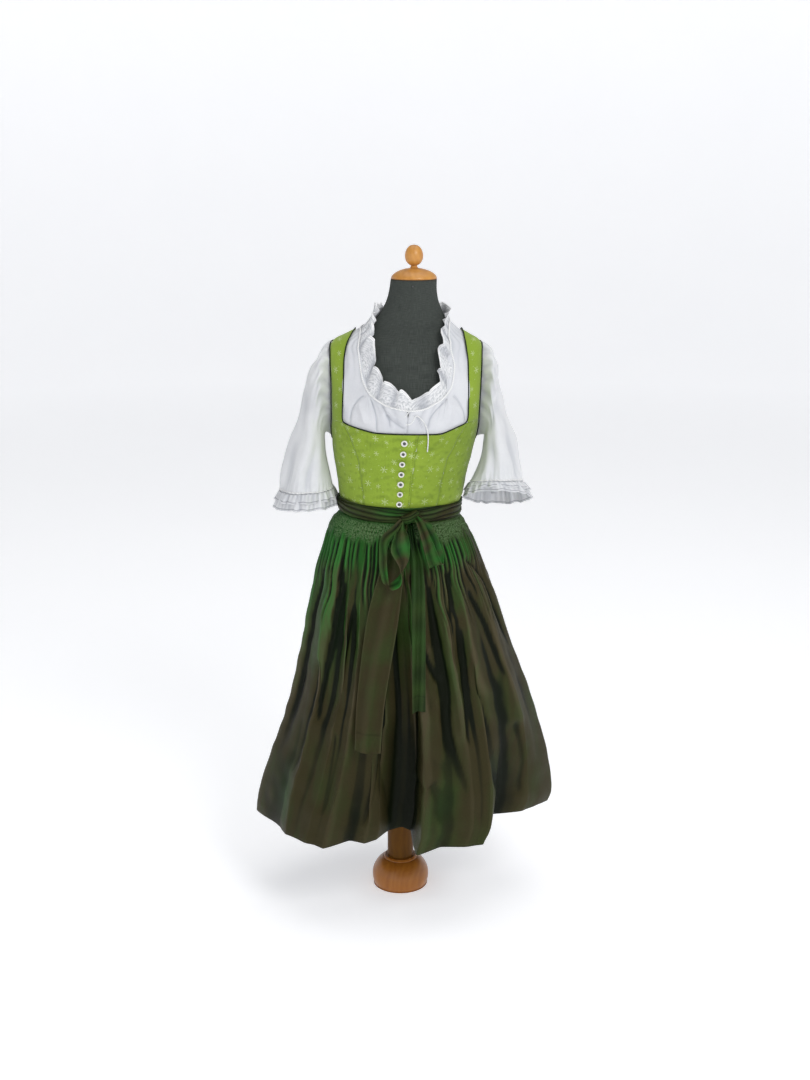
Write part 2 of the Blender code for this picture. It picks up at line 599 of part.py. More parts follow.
# Neck frill: its foot lies flat under the casing and its free edge stands off the neck in soft waves
frill_foot = resample([*CASING_LINE, (270, CASING_LINE[0][1])], NECK_COLUMNS + 1)[:-1]
frill_edge = resample([*FRILL_LINE, (270, FRILL_LINE[0][1])], NECK_COLUMNS + 1)[:-1]
waves = np.sin(np.arange(NECK_COLUMNS) * 2 * math.pi * NECK_WAVES / NECK_COLUMNS)
frill_width = np.linalg.norm(
    on_form(frill_foot[:, 1], frill_foot[:, 0]) - on_form(frill_edge[:, 1], frill_edge[:, 0]), axis=1
)
frill_rows = []
for start, share, out, wave in FRILL_STAND:
    share = (share + start / frill_width)[:, None]
    line = frill_foot * (1 - share) + frill_edge * share
    frill_rows.append(np.column_stack([line, out + wave * waves]))
frill = np.stack(frill_rows)
add_wall(
    "neck_frill",
    over_form(frill[..., 1], frill[..., 0], frill[..., 2] + FRILL_WALL / 2),
    over_form(frill[..., 1], frill[..., 0], frill[..., 2] - FRILL_WALL / 2),
    "frill_voile",
    closed=True,
)
casing_path = frill_foot
casing_out = outward(on_form, casing_path[:, 1], casing_path[:, 0])
add_strip(
    "neck_casing",
    over_form(casing_path[:, 1], casing_path[:, 0], sum(CASING) / 2),
    casing_out,
    0.0040,
    CASING[1] - CASING[0],
    "white_cord",
    closed=True,
)


# Bodice panels
bodice_edges = {}


def bodice_front(name, first, last, top, columns):
    grid = patch([first[0], last[0]], top, first, last, columns, BODICE_GRID[1])
    bodice_edges[name] = grid[-1]
    return add_panel(name, grid, BODICE, "lime_cotton")


bodice_front("bodice_front_right", PRINCESS_RIGHT, PLACKET, NECKLINE_RIGHT, LAPPED_FRONT_COLUMNS)
bodice_front("bodice_front_left", PLACKET, PRINCESS_LEFT, NECKLINE_LEFT, BODICE_GRID[0])

side_edge_right = [(-96, BODICE_BOTTOM), (-96, 0.93), *ARMHOLE_FRONT[:2], SIDE_TOP]
side_edge_left = mirrored(side_edge_right)
add_panel(
    "bodice_side_right",
    patch(
        [side_edge_right[0], PRINCESS_RIGHT[0]],
        [side_edge_right[-1], PRINCESS_RIGHT[-1]],
        side_edge_right,
        PRINCESS_RIGHT,
        *BODICE_GRID,
    ),
    BODICE,
    "lime_cotton",
)
add_panel(
    "bodice_side_left",
    patch(
        [PRINCESS_LEFT[0], side_edge_left[0]],
        [PRINCESS_LEFT[-1], side_edge_left[-1]],
        PRINCESS_LEFT,
        side_edge_left,
        *BODICE_GRID,
    ),
    BODICE,
    "lime_cotton",
)


def ridge_height(reach):
    """Where the shoulder line of the form is this far out from its centre."""
    low, high = 1.15, 1.26
    for _ in range(40):
        middle = (low + high) / 2
        low, high = (middle, high) if form.at("half", middle) > reach else (low, middle)
    return low


def strap_grid(side):
    """(angle, height, lift) over the shoulder from front to back, in columns from the inner edge out."""
    stages = np.linspace(0, 4, len(STRAP_INNER))
    rows = 2 * STRAP_STEPS - 1
    grid = np.zeros((rows, STRAP_COLUMNS, 3))
    for row in range(rows):
        t = 4 * row / (rows - 1)
        reach = [math.asin(np.interp(t, stages, e) / STRAP_REACH) for e in (STRAP_INNER, STRAP_OUTER)]
        for column in range(STRAP_COLUMNS):
            share = column / (STRAP_COLUMNS - 1)
            x = STRAP_REACH * math.sin(reach[0] * (1 - share) + reach[1] * share)
            top = ridge_height(x)
            climb = 1 - abs(t / 2 - 1) ** 2
            base = STRAP_FRONT_BASE if t <= 2 else STRAP_BACK_BASE
            z = base + (top - base) * climb
            turn = math.degrees(math.asin(min(1.0, x / float(form.at("half", z)))))
            grid[row, column] = (side * (turn if t <= 2 else 180 - turn), z, RIDGE_LIFT * climb**6)
    return grid


strap_right, strap_left = strap_grid(-1), strap_grid(1)
add_panel("strap_right", strap_right, BODICE, "lime_cotton")
add_panel("strap_left", strap_left, BODICE, "lime_cotton")
back_inner, back_outer = float(strap_left[-1, 0, 0]), float(strap_left[-1, -1, 0])
back_edge = [(96, BODICE_BOTTOM), (96, 0.93), *mirrored(ARMHOLE_BACK)[:3], (back_outer, STRAP_BACK_BASE)]
add_panel(
    "bodice_back",
    patch(
        [back_edge[0], (360 - back_edge[0][0], BODICE_BOTTOM)],
        [
            (back_outer, BACK_TOP), (back_inner, BACK_TOP), (180, BACK_MIDDLE), (360 - back_inner, BACK_TOP),
            (360 - back_outer, BACK_TOP),
        ],
        [*back_edge[:-1], (back_outer, BACK_TOP)],
        [*[(360 - angle, z) for angle, z in back_edge[:-1]], (360 - back_outer, BACK_TOP)],
        *BODICE_BACK_GRID,
    ),
    BODICE,
    "lime_cotton",
)


# Piping on the bodice's edges, laid on the cloth just inside the edge
def add_piping(name, line, count, closed, side):
    line = resample(line, count + closed)[: count]
    middle = over_form(line[:, 1], line[:, 0], sum(PIPING) / 2 + line[:, 2])
    out = outward(on_form, line[:, 1], line[:, 0])
    after, before = np.roll(middle, -1, axis=0), np.roll(middle, 1, axis=0)
    if not closed:
        after[-1], before[0] = middle[-1], middle[0]
    across = np.cross(after - before, out)
    middle = middle + across / np.linalg.norm(across, axis=-1, keepdims=True) * side * PIPING_INSET
    return add_strip(name, middle, out, PIPING_WIDTH, PIPING[1] - PIPING[0], "dark_piping", closed)


def unlifted(line):
    return [(angle, z, 0.0) for angle, z in line]


strap_inner_right, strap_inner_left = strap_right[:, 0], strap_left[:, 0]
front_edge_right = bodice_edges["bodice_front_right"]
front_edge_left = bodice_edges["bodice_front_left"]
neckline = np.concatenate(
    [
        strap_inner_right[::-1],
        unlifted(front_edge_right),
        unlifted(front_edge_left[1:]),
        strap_inner_left,
        unlifted([(back_inner, BACK_TOP), (180, BACK_MIDDLE), (360 - back_inner, BACK_TOP)]),
    ]
)
neckline[:, 0] = np.degrees(np.unwrap(np.radians(neckline[:, 0])))
neckline = np.concatenate([neckline, [neckline[0] + (360, 0, 0)]])
add_piping("neckline_piping", neckline, NECKLINE_POINTS, True, -1)
for side_name, strap, lower, upper, turned in (
    ("right", strap_right, side_edge_right, [(-angle, z) for angle, z in back_edge[2:]], 1),
    ("left", strap_left, side_edge_left, back_edge[2:], -1),
):
    loop = np.concatenate([unlifted(lower[3:]), strap[:, -1], unlifted(upper[::-1])])
    add_piping("armhole_piping_" + side_name, np.concatenate([loop, loop[:1]]), ARMHOLE_POINTS, True, turned)

# Buttons lie on the front edge of the bodice
for i in range(BUTTON_COUNT):
    share = i / (BUTTON_COUNT - 1)
    z = BUTTON_TOP + (BUTTON_BOTTOM - BUTTON_TOP) * share
    angle = BUTTON_ANGLES[0] * (1 - share) + BUTTON_ANGLES[1] * share
    normal = outward(on_form, z, angle)
    side = np.cross((0, 0, 1), normal)
    side /= np.linalg.norm(side)
    rise = np.cross(normal, side)
    rings = []
    for radius, out in BUTTON_PROFILE:
        centre = on_form(z, angle) + normal * (BUTTON[0] + (BUTTON[1] - BUTTON[0]) * out)
        turns = np.linspace(0, 2 * math.pi, BUTTON_SIDES, endpoint=False)[:, None]
        rings.append(centre + (np.cos(turns) * side + np.sin(turns) * rise) * radius * BUTTON_RADIUS)
    add_stack(f"button_{i + 1}", rings, "ringed_button")


# Apron and skirt
def fold_value(column, place):
    """A column of the fold table at a place along it, eased so that ridges and valleys are round."""
    values = np.array([row[FOLD_COLUMNS.index(column)] for row in FOLD_ROWS], float)
    i = np.clip(np.floor(place).astype(int), 0, len(values) - 2)
    t = place - i
    if not column.startswith("angle"):
        t = t * t * (3 - 2 * t)
    return values[i] * (1 - t) + values[i + 1] * t


def hang_point(z, angle, swell):
    turn = np.radians(angle)
    depth = np.where(np.cos(turn) > 0, hang.at("front", z), hang.at("back", z))
    return np.stack(
        [
            hang.at("cx", z) + hang.at("half", z) * swell * np.sin(turn),
            -depth * swell * np.cos(turn),
            z + 0 * turn,
        ],
        axis=-1,
    )


def apron_place(place, z):
    """Angle and swell of the apron at a place along the folds and a height."""
    angle_share = np.clip((0.730 - z) / (0.730 - 0.190), 0, 1)
    angle = fold_value("angle_top", place) * (1 - angle_share) + fold_value("angle_low", place) * angle_share
    names = ("at_730", "at_600", "at_400", "at_190")
    swells = np.stack([fold_value(name, place) for name in names])
    heights = np.array(FOLD_HEIGHTS)
    z = np.clip(z, heights[-1], SKIRT_TOP)
    swell = np.where(
        z > heights[0],
        1 + (swells[0] - 1) * np.clip((SKIRT_TOP - z) / (SKIRT_TOP - heights[0]), 0, 1),
        0,
    )
    for i in range(3):
        inside = (z <= heights[i]) & (z >= heights[i + 1])
        t = (heights[i] - z) / (heights[i] - heights[i + 1])
        swell = np.where(inside, swells[i] * (1 - t) + swells[i + 1] * t, swell)
    return angle, swell


def shrunk(grid, by):
    """The grid moved in along its own normals."""
    along = np.gradient(grid, axis=1)
    up = np.gradient(grid, axis=0)
    normal = np.cross(along, up)
    normal /= np.linalg.norm(normal, axis=-1, keepdims=True)
    middle = np.array([0.0, 0.0, 1.0]) * grid[..., 2:3]
    turned = np.sign(np.sum(normal * (grid - middle)))
    return grid - normal * turned * by


places = np.linspace(0, len(FOLD_ROWS) - 1, (len(FOLD_ROWS) - 1) * STEPS_PER_FOLD + 1)
hems = fold_value("hem", places)
apron_heights = np.array([np.full(len(places), z) for z in (SKIRT_TOP, *APRON_HEIGHTS)] + [hems])
apron_rows = [apron_place(places, row) for row in apron_heights]
apron = np.stack([hang_point(z, angle, swell) for z, (angle, swell) in zip(apron_heights, apron_rows)])
add_wall("apron_panel", apron, shrunk(apron, APRON_WALL), "shot_taffeta")

# The skirt hangs inside the deepest of the apron's folds, so it has the same fall with softer folds
def least_swell(angle, z, reach_angle, reach_z):
    """The smallest swell of the apron near an angle and a height."""
    least = 10.0
    for near_z in np.linspace(z - reach_z, z + reach_z, 5):
        near_z = min(max(near_z, 0.190), SKIRT_TOP)
        angles, swells = apron_place(places, np.full(len(places), near_z))
        near = np.abs(angles - angle) <= reach_angle
        least = min(least, float(np.min(swells[near])) if near.any() else 1.0)
    return least


def skirt_grid(angles, folded):
    rows = []
    for z in SKIRT_HEIGHTS:
        low = z - (SKIRT_DROP if z == SKIRT_HEIGHTS[-1] else 0)
        row = []
        for angle in angles:
            if folded and abs(angle) < SIDE_ANGLE - 1:
                reach = min(REACH_HEIGHT, 0.6 * (SKIRT_TOP + 0.005 - z))
                swell = least_swell(angle, z, REACH_ANGLE + SKIRT_FRONT_STEP / 4, reach)
            else:
                depth = BACK_SWELL * min(1.0, (SKIRT_TOP - z) / 0.4)
                turn = 2 * math.pi * BACK_FOLDS * (abs(angle) - SIDE_ANGLE) / (360 - 2 * SIDE_ANGLE)
                swell = 1 - (1 - EDGE_SWELL) * min(1.0, (SKIRT_TOP - z) / 0.1) - depth * (1 - math.cos(turn))
            point = hang_point(np.float64(z), np.float64(angle), swell)
            reach = math.hypot(point[0], point[1])
            clear = SKIRT_CLEAR[0] if z > BAND_BOTTOM else SKIRT_CLEAR[1] + SKIRT_FALL_IN * (SKIRT_TOP - z)
            point[:2] *= (reach - APRON_WALL - clear) / reach
            point[2] = low
            row.append(point)
        rows.append(row)
    return np.array(rows)


front_angles = np.linspace(-SIDE_ANGLE, SIDE_ANGLE, round(2 * SIDE_ANGLE / SKIRT_FRONT_STEP) + 1)
back_angles = np.linspace(SIDE_ANGLE, 360 - SIDE_ANGLE, BACK_FOLDS * 4 + 1)
for name, angles, folded in (("skirt_front", front_angles, True), ("skirt_back", back_angles, False)):
    outer = skirt_grid(angles, folded)
    inner = shrunk(outer, SKIRT_WALL)
    add_wall(name, drawn_in(outer, SKIRT_SEAM_GAP), drawn_in(inner, SKIRT_SEAM_GAP), "dark_skirt")

# Band and wrapped ties, right round the waist
for name, layer, low, high, slant in (
    ("apron_band", BAND, BAND_BOTTOM, BAND_TOP, 0.0),
    ("apron_ties", TIES, TIES_BOTTOM, TIES_TOP, 0.0015),
):
    turn = np.linspace(0, 360, WAIST_COLUMNS, endpoint=False)
    heights = np.array([low, high])[:, None] + slant * np.sin(np.radians(2 * turn))[None, :]
    waist = np.clip(heights, WAIST, None)
    turns = np.broadcast_to(turn, heights.shape)
    outer, inner = (over_form(waist, turns, np.full(heights.shape, layer[i])) for i in (1, 0))
    outer[..., 2] = inner[..., 2] = heights
    add_wall(name, outer, inner, "shot_taffeta", closed=True)

# Knot: a rounded block over the ties
knot_rings = []
for lift in KNOT_LIFTS:
    size = math.sqrt(max(0.15, 1 - (abs(lift) * 0.92) ** 2))
    turns = np.linspace(0, 2 * math.pi, KNOT_SIDES, endpoint=False)
    ring = [
        (
            KNOT[0] + KNOT_HALF[0] * size * math.cos(t),
            KNOT[1] + KNOT_HALF[1] * (0.35 + 0.65 * size) * math.sin(t) * (1.0 if math.sin(t) < 0 else 0.25),
            KNOT[2] + KNOT_HALF[2] * lift,
        )
        for t in turns
    ]
    knot_rings.append(ring)
add_stack("bow_knot", knot_rings, "shot_taffeta")


def smooth_line(rows, count, closed=False):
    """A smooth line through points, by Catmull-Rom."""
    rows = np.array(rows, float)
    last = len(rows) if closed else len(rows) - 1
    out = []
    for t in np.linspace(0, last, count, endpoint=not closed):
        i = min(int(t), last - 1)
        f = t - i
        picks = [i - 1, i, i + 1, i + 2]
        picks = [k % len(rows) if closed else min(max(k, 0), len(rows) - 1) for k in picks]
        a, b, c, d = rows[picks]
        out.append(
            0.5 * (2 * b + (c - a) * f + (2 * a - 5 * b + 4 * c - d) * f**2 + (3 * b - a - 3 * c + d) * f**3)
        )
    return np.array(out)


def shrunk_tube(grid, by):
    """A tube's rings moved in toward their own middle line."""
    wrapped = np.concatenate([grid[:, -1:], grid, grid[:, :1]], axis=1)
    along = (wrapped[:, 2:] - wrapped[:, :-2]) / 2
    up = np.gradient(grid, axis=0)
    normal = np.cross(along, up)
    normal /= np.linalg.norm(normal, axis=-1, keepdims=True)
    middle = grid.mean(axis=1, keepdims=True)
    turned = np.sign(np.sum(normal * (grid - middle)))
    return grid - normal * turned * by


# Bow loops: rings of ribbon that hang open from the knot
for name, rows in (("bow_loop_right", LOOP_RIGHT), ("bow_loop_left", LOOP_LEFT)):
    path = smooth_line(rows, LOOP_POINTS, closed=True)
    loop = np.stack([path[:, :3], path[:, 3:]])
    add_wall(name, loop, shrunk_tube(loop, RIBBON), "shot_taffeta", closed=True)

# Bow tails lie down the front of the apron
for name, rows in (("bow_tail_right", TAIL_RIGHT), ("bow_tail_left", TAIL_LEFT)):
    tail = Table(TAIL_COLUMNS, rows)
    heights = np.linspace(rows[0][0], rows[-1][0], TAIL_STEPS)
    outer = np.zeros((TAIL_STEPS, TAIL_COLUMNS_ACROSS, 3))
    for i, z in enumerate(heights):
        for j, share in enumerate(np.linspace(0, 1, TAIL_COLUMNS_ACROSS)):
            x = float(tail.at("left", z)) * (1 - share) + float(tail.at("right", z)) * share
            reach = (x - float(hang.at("cx", z))) / float(hang.at("half", z))
            y = -TAIL_FLOAT * float(hang.at("front", z)) * math.sqrt(1 - reach**2)
            outer[i, j] = (x, y - TAIL_LIFT, z)
    inner = outer + (0, RIBBON, 0)
    add_wall(name, outer, inner, "shot_taffeta")


# Sleeves and their frills
def sleeve_ring(row, columns):
    ring = dict(zip(SLEEVE_COLUMNS, row))
    turn = np.linspace(0, 2 * math.pi, columns, endpoint=False)
    share = (1 - np.cos(turn)) / 2
    back = ring["half_y"] * np.sin(turn)
    x = ring["inner_x"] + (ring["outer_x"] - ring["inner_x"]) * share
    z = ring["inner_z"] + (ring["outer_z"] - ring["inner_z"]) * share
    return np.column_stack([x, ring["mid_y"] + back, z + ring["tilt"] * back])


def armhole_ring(side, narrow, shorten, out):
    half = SLEEVE_COLUMNS_ROUND // 2 + 1
    loop = np.concatenate([resample(ARMHOLE_BACK, half)[:-1], resample(ARMHOLE_FRONT, half)[:0:-1]])
    middle = np.array(ARMHOLE_MIDDLE)
    loop = middle + (loop - middle) * (narrow, shorten)
    return over_form(loop[:, 1], -side * loop[:, 0], np.full(len(loop), out))


def add_sleeve(name, rings, finish, start=()):
    """The first rings lie on the form's side, so their inner wall is given with them."""
    grid = np.stack(rings)
    inner = shrunk_tube(grid, SLEEVE_WALL)
    for i, ring in enumerate(start):
        inner[i] = ring
    add_wall(name, grid, inner, finish, closed=True)


for name, side, rows, frill_rows in (
    ("right", -1, SLEEVE_RIGHT, FRILL_RIGHT),
    ("left", 1, SLEEVE_LEFT, FRILL_LEFT),
):
    first = [armhole_ring(side, *ring) for ring in ARMHOLE_RINGS]
    start = [armhole_ring(side, *shape, out - SLEEVE_WALL) for *shape, out in ARMHOLE_RINGS]
    rest = [sleeve_ring(row, SLEEVE_COLUMNS_ROUND) for row in rows]
    add_sleeve("sleeve_" + name, [*first, *rest], "white_cotton", start)
    rings = []
    for share, row in zip((0.0, 0.5, 1.0), frill_rows):
        ring = sleeve_ring(row, FRILL_COLUMNS_ROUND)
        centre = ring.mean(axis=0)
        flat = ring[:, :2] - centre[:2]
        swing = np.sin(np.arange(FRILL_COLUMNS_ROUND) * 2 * math.pi * FRILL_WAVES / FRILL_COLUMNS_ROUND)
        wave = 1 + FRILL_WAVE * share * swing
        ring[:, :2] = centre[:2] + flat * wave[:, None]
        rings.append(ring)
    add_sleeve("sleeve_frill_" + name, rings, "frill_voile")

# Drawstring, threaded at the slit, with one small loop and one hanging end
string_rows = np.array(DRAWSTRING)
string_places = over_form(string_rows[:, 1], string_rows[:, 0], string_rows[:, 2])
string_path = smooth_line(string_places, DRAWSTRING_POINTS)
string_curve = bpy.data.curves.new("drawstring", "CURVE")
string_curve.dimensions = "3D"
string_curve.bevel_depth = DRAWSTRING_RADIUS
string_curve.bevel_resolution = 2
string_curve.use_fill_caps = True
string_spline = string_curve.splines.new("POLY")
string_spline.points.add(len(string_path) - 1)
for point, place in zip(string_spline.points, string_path):
    point.co = (*map(float, place), 1.0)
string_curve.materials.append(finish_of("white_cord"))
drawstring = bpy.data.objects.new("drawstring", string_curve)
bpy.context.scene.collection.objects.link(drawstring)
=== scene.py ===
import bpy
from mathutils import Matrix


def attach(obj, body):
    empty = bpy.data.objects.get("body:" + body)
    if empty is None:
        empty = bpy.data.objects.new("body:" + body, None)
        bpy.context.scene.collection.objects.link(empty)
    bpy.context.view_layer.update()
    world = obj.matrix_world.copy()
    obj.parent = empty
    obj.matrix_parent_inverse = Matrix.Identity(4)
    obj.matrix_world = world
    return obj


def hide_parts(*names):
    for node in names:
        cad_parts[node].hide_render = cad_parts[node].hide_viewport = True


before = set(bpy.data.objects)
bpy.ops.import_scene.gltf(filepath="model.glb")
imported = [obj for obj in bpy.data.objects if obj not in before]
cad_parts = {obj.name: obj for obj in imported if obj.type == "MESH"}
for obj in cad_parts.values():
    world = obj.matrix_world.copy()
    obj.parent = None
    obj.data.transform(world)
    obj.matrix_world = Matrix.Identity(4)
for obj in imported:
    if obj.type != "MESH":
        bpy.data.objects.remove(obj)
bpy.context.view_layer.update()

import math

import bpy
import numpy as np

# Metres, Z up, front towards -Y. The wearer's right side is at -X.
# Angles go round the figure: 0 is the centre front, -90 the right side, 90 the left side.


# small tools
def makeTable(columns, rows):
    # a reader for rows with named columns, smooth between them without overshoot
    data = np.array(sorted(rows), float)
    key = data[:, 0]
    values, slopes = {}, {}
    for i, name in enumerate(columns):
        column = data[:, i]
        steps = np.diff(column) / np.diff(key)
        slope = np.zeros(len(column))
        before, after = steps[:-1], steps[1:]
        total = np.where(before * after > 0, before + after, 1)
        slope[1:-1] = np.where(before * after > 0, 2 * before * after / total, 0)
        slope[0], slope[-1] = steps[0], steps[-1]
        values[name], slopes[name] = column, slope

    def read(name, at):
        at = np.clip(at, key[0], key[-1])
        i = np.clip(np.searchsorted(key, at) - 1, 0, len(key) - 2)
        step = key[i + 1] - key[i]
        t = (at - key[i]) / step
        a, b = values[name][i], values[name][i + 1]
        da, db = slopes[name][i] * step, slopes[name][i + 1] * step
        return (a * (1 + 2 * t) * (1 - t) ** 2 + da * t * (1 - t) ** 2
                + b * t * t * (3 - 2 * t) - db * t * t * (1 - t))

    return read


def smoothLine(rows, count, closed=False):
    # a Catmull-Rom line through points, or through whole rings of points
    rows = np.array(rows, float)
    last = len(rows) if closed else len(rows) - 1
    t = np.linspace(0, last, count, endpoint=not closed)
    i = np.minimum(t.astype(int), last - 1)
    f = (t - i).reshape((-1,) + (1,) * (rows.ndim - 1))
    pick = (lambda k: rows[k % len(rows)]) if closed else (lambda k: rows[np.clip(k, 0, len(rows) - 1)])
    a, b, c, d = pick(i - 1), pick(i), pick(i + 1), pick(i + 2)
    return 0.5 * (2 * b + (c - a) * f + (2 * a - 5 * b + 4 * c - d) * f**2 + (3 * b - a - 3 * c + d) * f**3)


def evenly(points, count):
    # points along a line of (angle, height) at even steps, where a degree counts as 2.4 mm
    points = np.array(points, float)
    lengths = np.linalg.norm(np.diff(points[:, :2] * (0.0024, 1.0), axis=0), axis=1)
    along = np.concatenate([[0], np.cumsum(lengths)])
    wanted = np.linspace(0, along[-1], count)
    return np.stack([np.interp(wanted, along, points[:, i]) for i in range(points.shape[1])], axis=-1)


def easedInside(rows):
    # each inner row, a quarter of the way towards each neighbour
    return (rows[:-2] + 2 * rows[1:-1] + rows[2:]) / 4


def easedRound(rows, axis):
    # the same where the last row meets the first again
    return (np.roll(rows, 1, axis=axis) + 2 * rows + np.roll(rows, -1, axis=axis)) / 4


def easedLine(points, count):
    # the same line with its corners a little rounded
    line = evenly(points, count)
    for _ in range(max(1, count // 30)):
        line[1:-1] = easedInside(line)
    return line


def patch(bottom, top, first, last, columns, rows):
    # a grid of (angle, height) filled in between four edges
    low, high = evenly(bottom, columns), evenly(top, columns)
    start, end = evenly(first, rows), evenly(last, rows)
    u = np.linspace(0, 1, columns)[None, :, None]
    v = np.linspace(0, 1, rows)[:, None, None]
    corners = ((1 - u) * (1 - v) * low[0] + u * (1 - v) * low[-1]
               + (1 - u) * v * high[0] + u * v * high[-1])
    return (1 - v) * low[None] + v * high[None] + (1 - u) * start[:, None] + u * end[:, None] - corners


def unit(x):
    return np.clip(x, 0, 1)


def soft(x, low, high):
    t = unit((x - low) / (high - low))
    return t * t * (3 - 2 * t)


def hump(x, middle, width):
    return np.exp(-((x - middle) / width) ** 2)


def wayRound(count):
    return np.linspace(0, 2 * math.pi, count, endpoint=False)


def ripple(points, size, seed, waves=7):
    # smooth unevenness: a few sine waves in seeded directions, from -1 to 1
    rng = np.random.RandomState(seed)
    total = 0
    for _ in range(waves):
        way = rng.normal(size=points.shape[-1])
        way /= np.linalg.norm(way)
        often = 2 * math.pi / size * rng.uniform(0.6, 1.5)
        total = total + np.sin(points @ way * often + rng.uniform(0, 6.28))
    return total / waves * 1.6


def ofLengthOne(ways):
    return ways / np.linalg.norm(ways, axis=-1, keepdims=True)


def normalsOf(grid, closed=False):
    if closed:
        wrapped = np.concatenate([grid[:, -1:], grid, grid[:, :1]], axis=1)
        along = wrapped[:, 2:] - wrapped[:, :-2]
    else:
        along = np.gradient(grid, axis=1)
    normal = np.cross(along, np.gradient(grid, axis=0))
    return normal / np.maximum(np.linalg.norm(normal, axis=-1, keepdims=True), 1e-12)


# the bare form under the clothes
formShape = makeTable(("z", "cx", "cy", "half", "front", "back"), [
    (0.620, 0.000, 0.000, 0.122, 0.086, 0.095), (0.640, 0.000, 0.000, 0.138, 0.096, 0.106),
    (0.680, 0.000, 0.000, 0.146, 0.103, 0.115), (0.720, 0.000, 0.000, 0.146, 0.104, 0.117),
    (0.760, -0.001, 0.000, 0.1330, 0.0990, 0.1090), (0.800, -0.001, 0.000, 0.1180, 0.0910, 0.0940),
    (0.825, -0.001, 0.000, 0.1130, 0.0870, 0.0865), (0.850, -0.001, 0.000, 0.1150, 0.0890, 0.0880),
    (0.880, 0.0015, 0.000, 0.1220, 0.0930, 0.0880), (0.920, 0.003, 0.000, 0.1280, 0.1010, 0.091),
    (0.960, 0.005, 0.000, 0.1360, 0.1110, 0.095), (1.000, 0.008, 0.000, 0.1420, 0.1200, 0.099),
    (1.030, 0.010, 0.000, 0.1450, 0.1225, 0.103), (1.070, 0.011, 0.001, 0.1480, 0.1150, 0.107),
    (1.110, 0.012, 0.003, 0.1500, 0.0980, 0.108), (1.150, 0.012, 0.006, 0.1500, 0.0810, 0.099),
    (1.175, 0.012, 0.008, 0.1490, 0.0700, 0.084), (1.187, 0.013, 0.009, 0.1410, 0.0640, 0.075),
    (1.198, 0.015, 0.010, 0.1210, 0.0590, 0.068), (1.208, 0.017, 0.011, 0.1020, 0.0560, 0.063),
    (1.222, 0.020, 0.012, 0.0830, 0.0530, 0.058), (1.236, 0.022, 0.012, 0.0700, 0.0505, 0.054),
    (1.252, 0.024, 0.012, 0.0605, 0.0490, 0.051), (1.270, 0.025, 0.012, 0.0530, 0.0480, 0.049),
    (1.290, 0.026, 0.012, 0.0490, 0.0475, 0.0475), (1.3105, 0.0275, 0.012, 0.0475, 0.0470, 0.0470),
])


def onForm(z, angle):
    z, turn = np.broadcast_arrays(np.asarray(z, float), np.radians(angle))
    depth = np.where(np.cos(turn) > 0, formShape("front", z), formShape("back", z))
    return np.stack([formShape("cx", z) + formShape("half", z) * np.sin(turn),
                     formShape("cy", z) - depth * np.cos(turn), z], axis=-1)


def outOfForm(z, angle):
    up = onForm(np.asarray(z) + 0.0005, angle) - onForm(np.asarray(z) - 0.0005, angle)
    along = onForm(z, np.asarray(angle) + 0.2) - onForm(z, np.asarray(angle) - 0.2)
    return ofLengthOne(np.cross(along, up))


def overForm(z, angle, out):
    return onForm(z, angle) + outOfForm(z, angle) * np.asarray(out)[..., None]


def overGrid(grid, out=0.0):
    # the same for a grid or a line whose rows begin with (angle, height)
    return overForm(grid[..., 1], grid[..., 0], out)


def addToScene(name, data):
    thing = bpy.data.objects.new(name, data)
    bpy.context.scene.collection.objects.link(thing)
    return thing


# the camera stands a little above the bust and looks slightly down
view = {"place": (0.010, -2.90, 1.51), "down": 14.2, "lens": 48, "film": 36, "columns": 810, "rows": 1080}
cameraData = bpy.data.cameras.new("studioCamera")
cameraData.sensor_fit = "VERTICAL"
cameraData.sensor_height = view["film"]
cameraData.lens = view["lens"]
camera = addToScene("studioCamera", cameraData)
camera.location = view["place"]
camera.rotation_euler = (math.radians(90 - view["down"]), 0, 0)
bpy.context.scene.camera = camera


def seen(column, row, front, pulled=0.0):
    # the point at a column and a row of the camera's view, this far in front of the axis, then pulled forward
    focal = view["rows"] * view["lens"] / view["film"]
    right, up = (column - view["columns"] / 2) / focal, (view["rows"] / 2 - row) / focal
    down = math.radians(view["down"])
    far = (-front - view["place"][1]) / (math.cos(down) + up * math.sin(down))
    point = (view["place"][0] + right * far, -front - pulled,
             view["place"][2] + far * (up * math.cos(down) - math.sin(down)))
    return [round(value, 4) for value in point]  # to a tenth of a millimetre


# materials: the bench holds the node tree and the shader in hand
bench = {}


def put(kind, inputs=None, **settings):
    # a node in the tree on the bench, with its inputs set or linked
    node = bench["tree"].nodes.new(kind)
    for name, value in settings.items():
        setattr(node, name, value)
    for name, value in (inputs or {}).items():
        if isinstance(value, bpy.types.NodeSocket):
            bench["tree"].links.new(value, node.inputs[name])
        else:
            node.inputs[name].default_value = value
    return node


def calc(operation, *values, clamp=False):
    return put("ShaderNodeMath", dict(enumerate(values)), operation=operation, use_clamp=clamp).outputs[0]


def plus(a, b, clamp=False):
    return calc("ADD", a, b, clamp=clamp)


def times(a, b):
    return calc("MULTIPLY", a, b)


def mixColour(share, a, b):
    colours = [c if isinstance(c, bpy.types.NodeSocket) else (*c, 1.0) for c in (a, b)]
    node = put("ShaderNodeMix", {0: share, 6: colours[0], 7: colours[1]}, data_type="RGBA")
    return node.outputs[2]


def spread(value, low, high, toLow=0.0, toHigh=1.0):
    return put("ShaderNodeMapRange", {0: value, 1: low, 2: high, 3: toLow, 4: toHigh}).outputs[0]


def noise(where, scale, detail, rough=0.5):
    inputs = {"Vector": where, "Scale": scale, "Detail": detail, "Roughness": rough}
    return put("ShaderNodeTexNoise", inputs).outputs["Fac"]


def stretched(where, scale):
    return put("ShaderNodeMapping", {"Vector": where, "Scale": scale}).outputs[0]


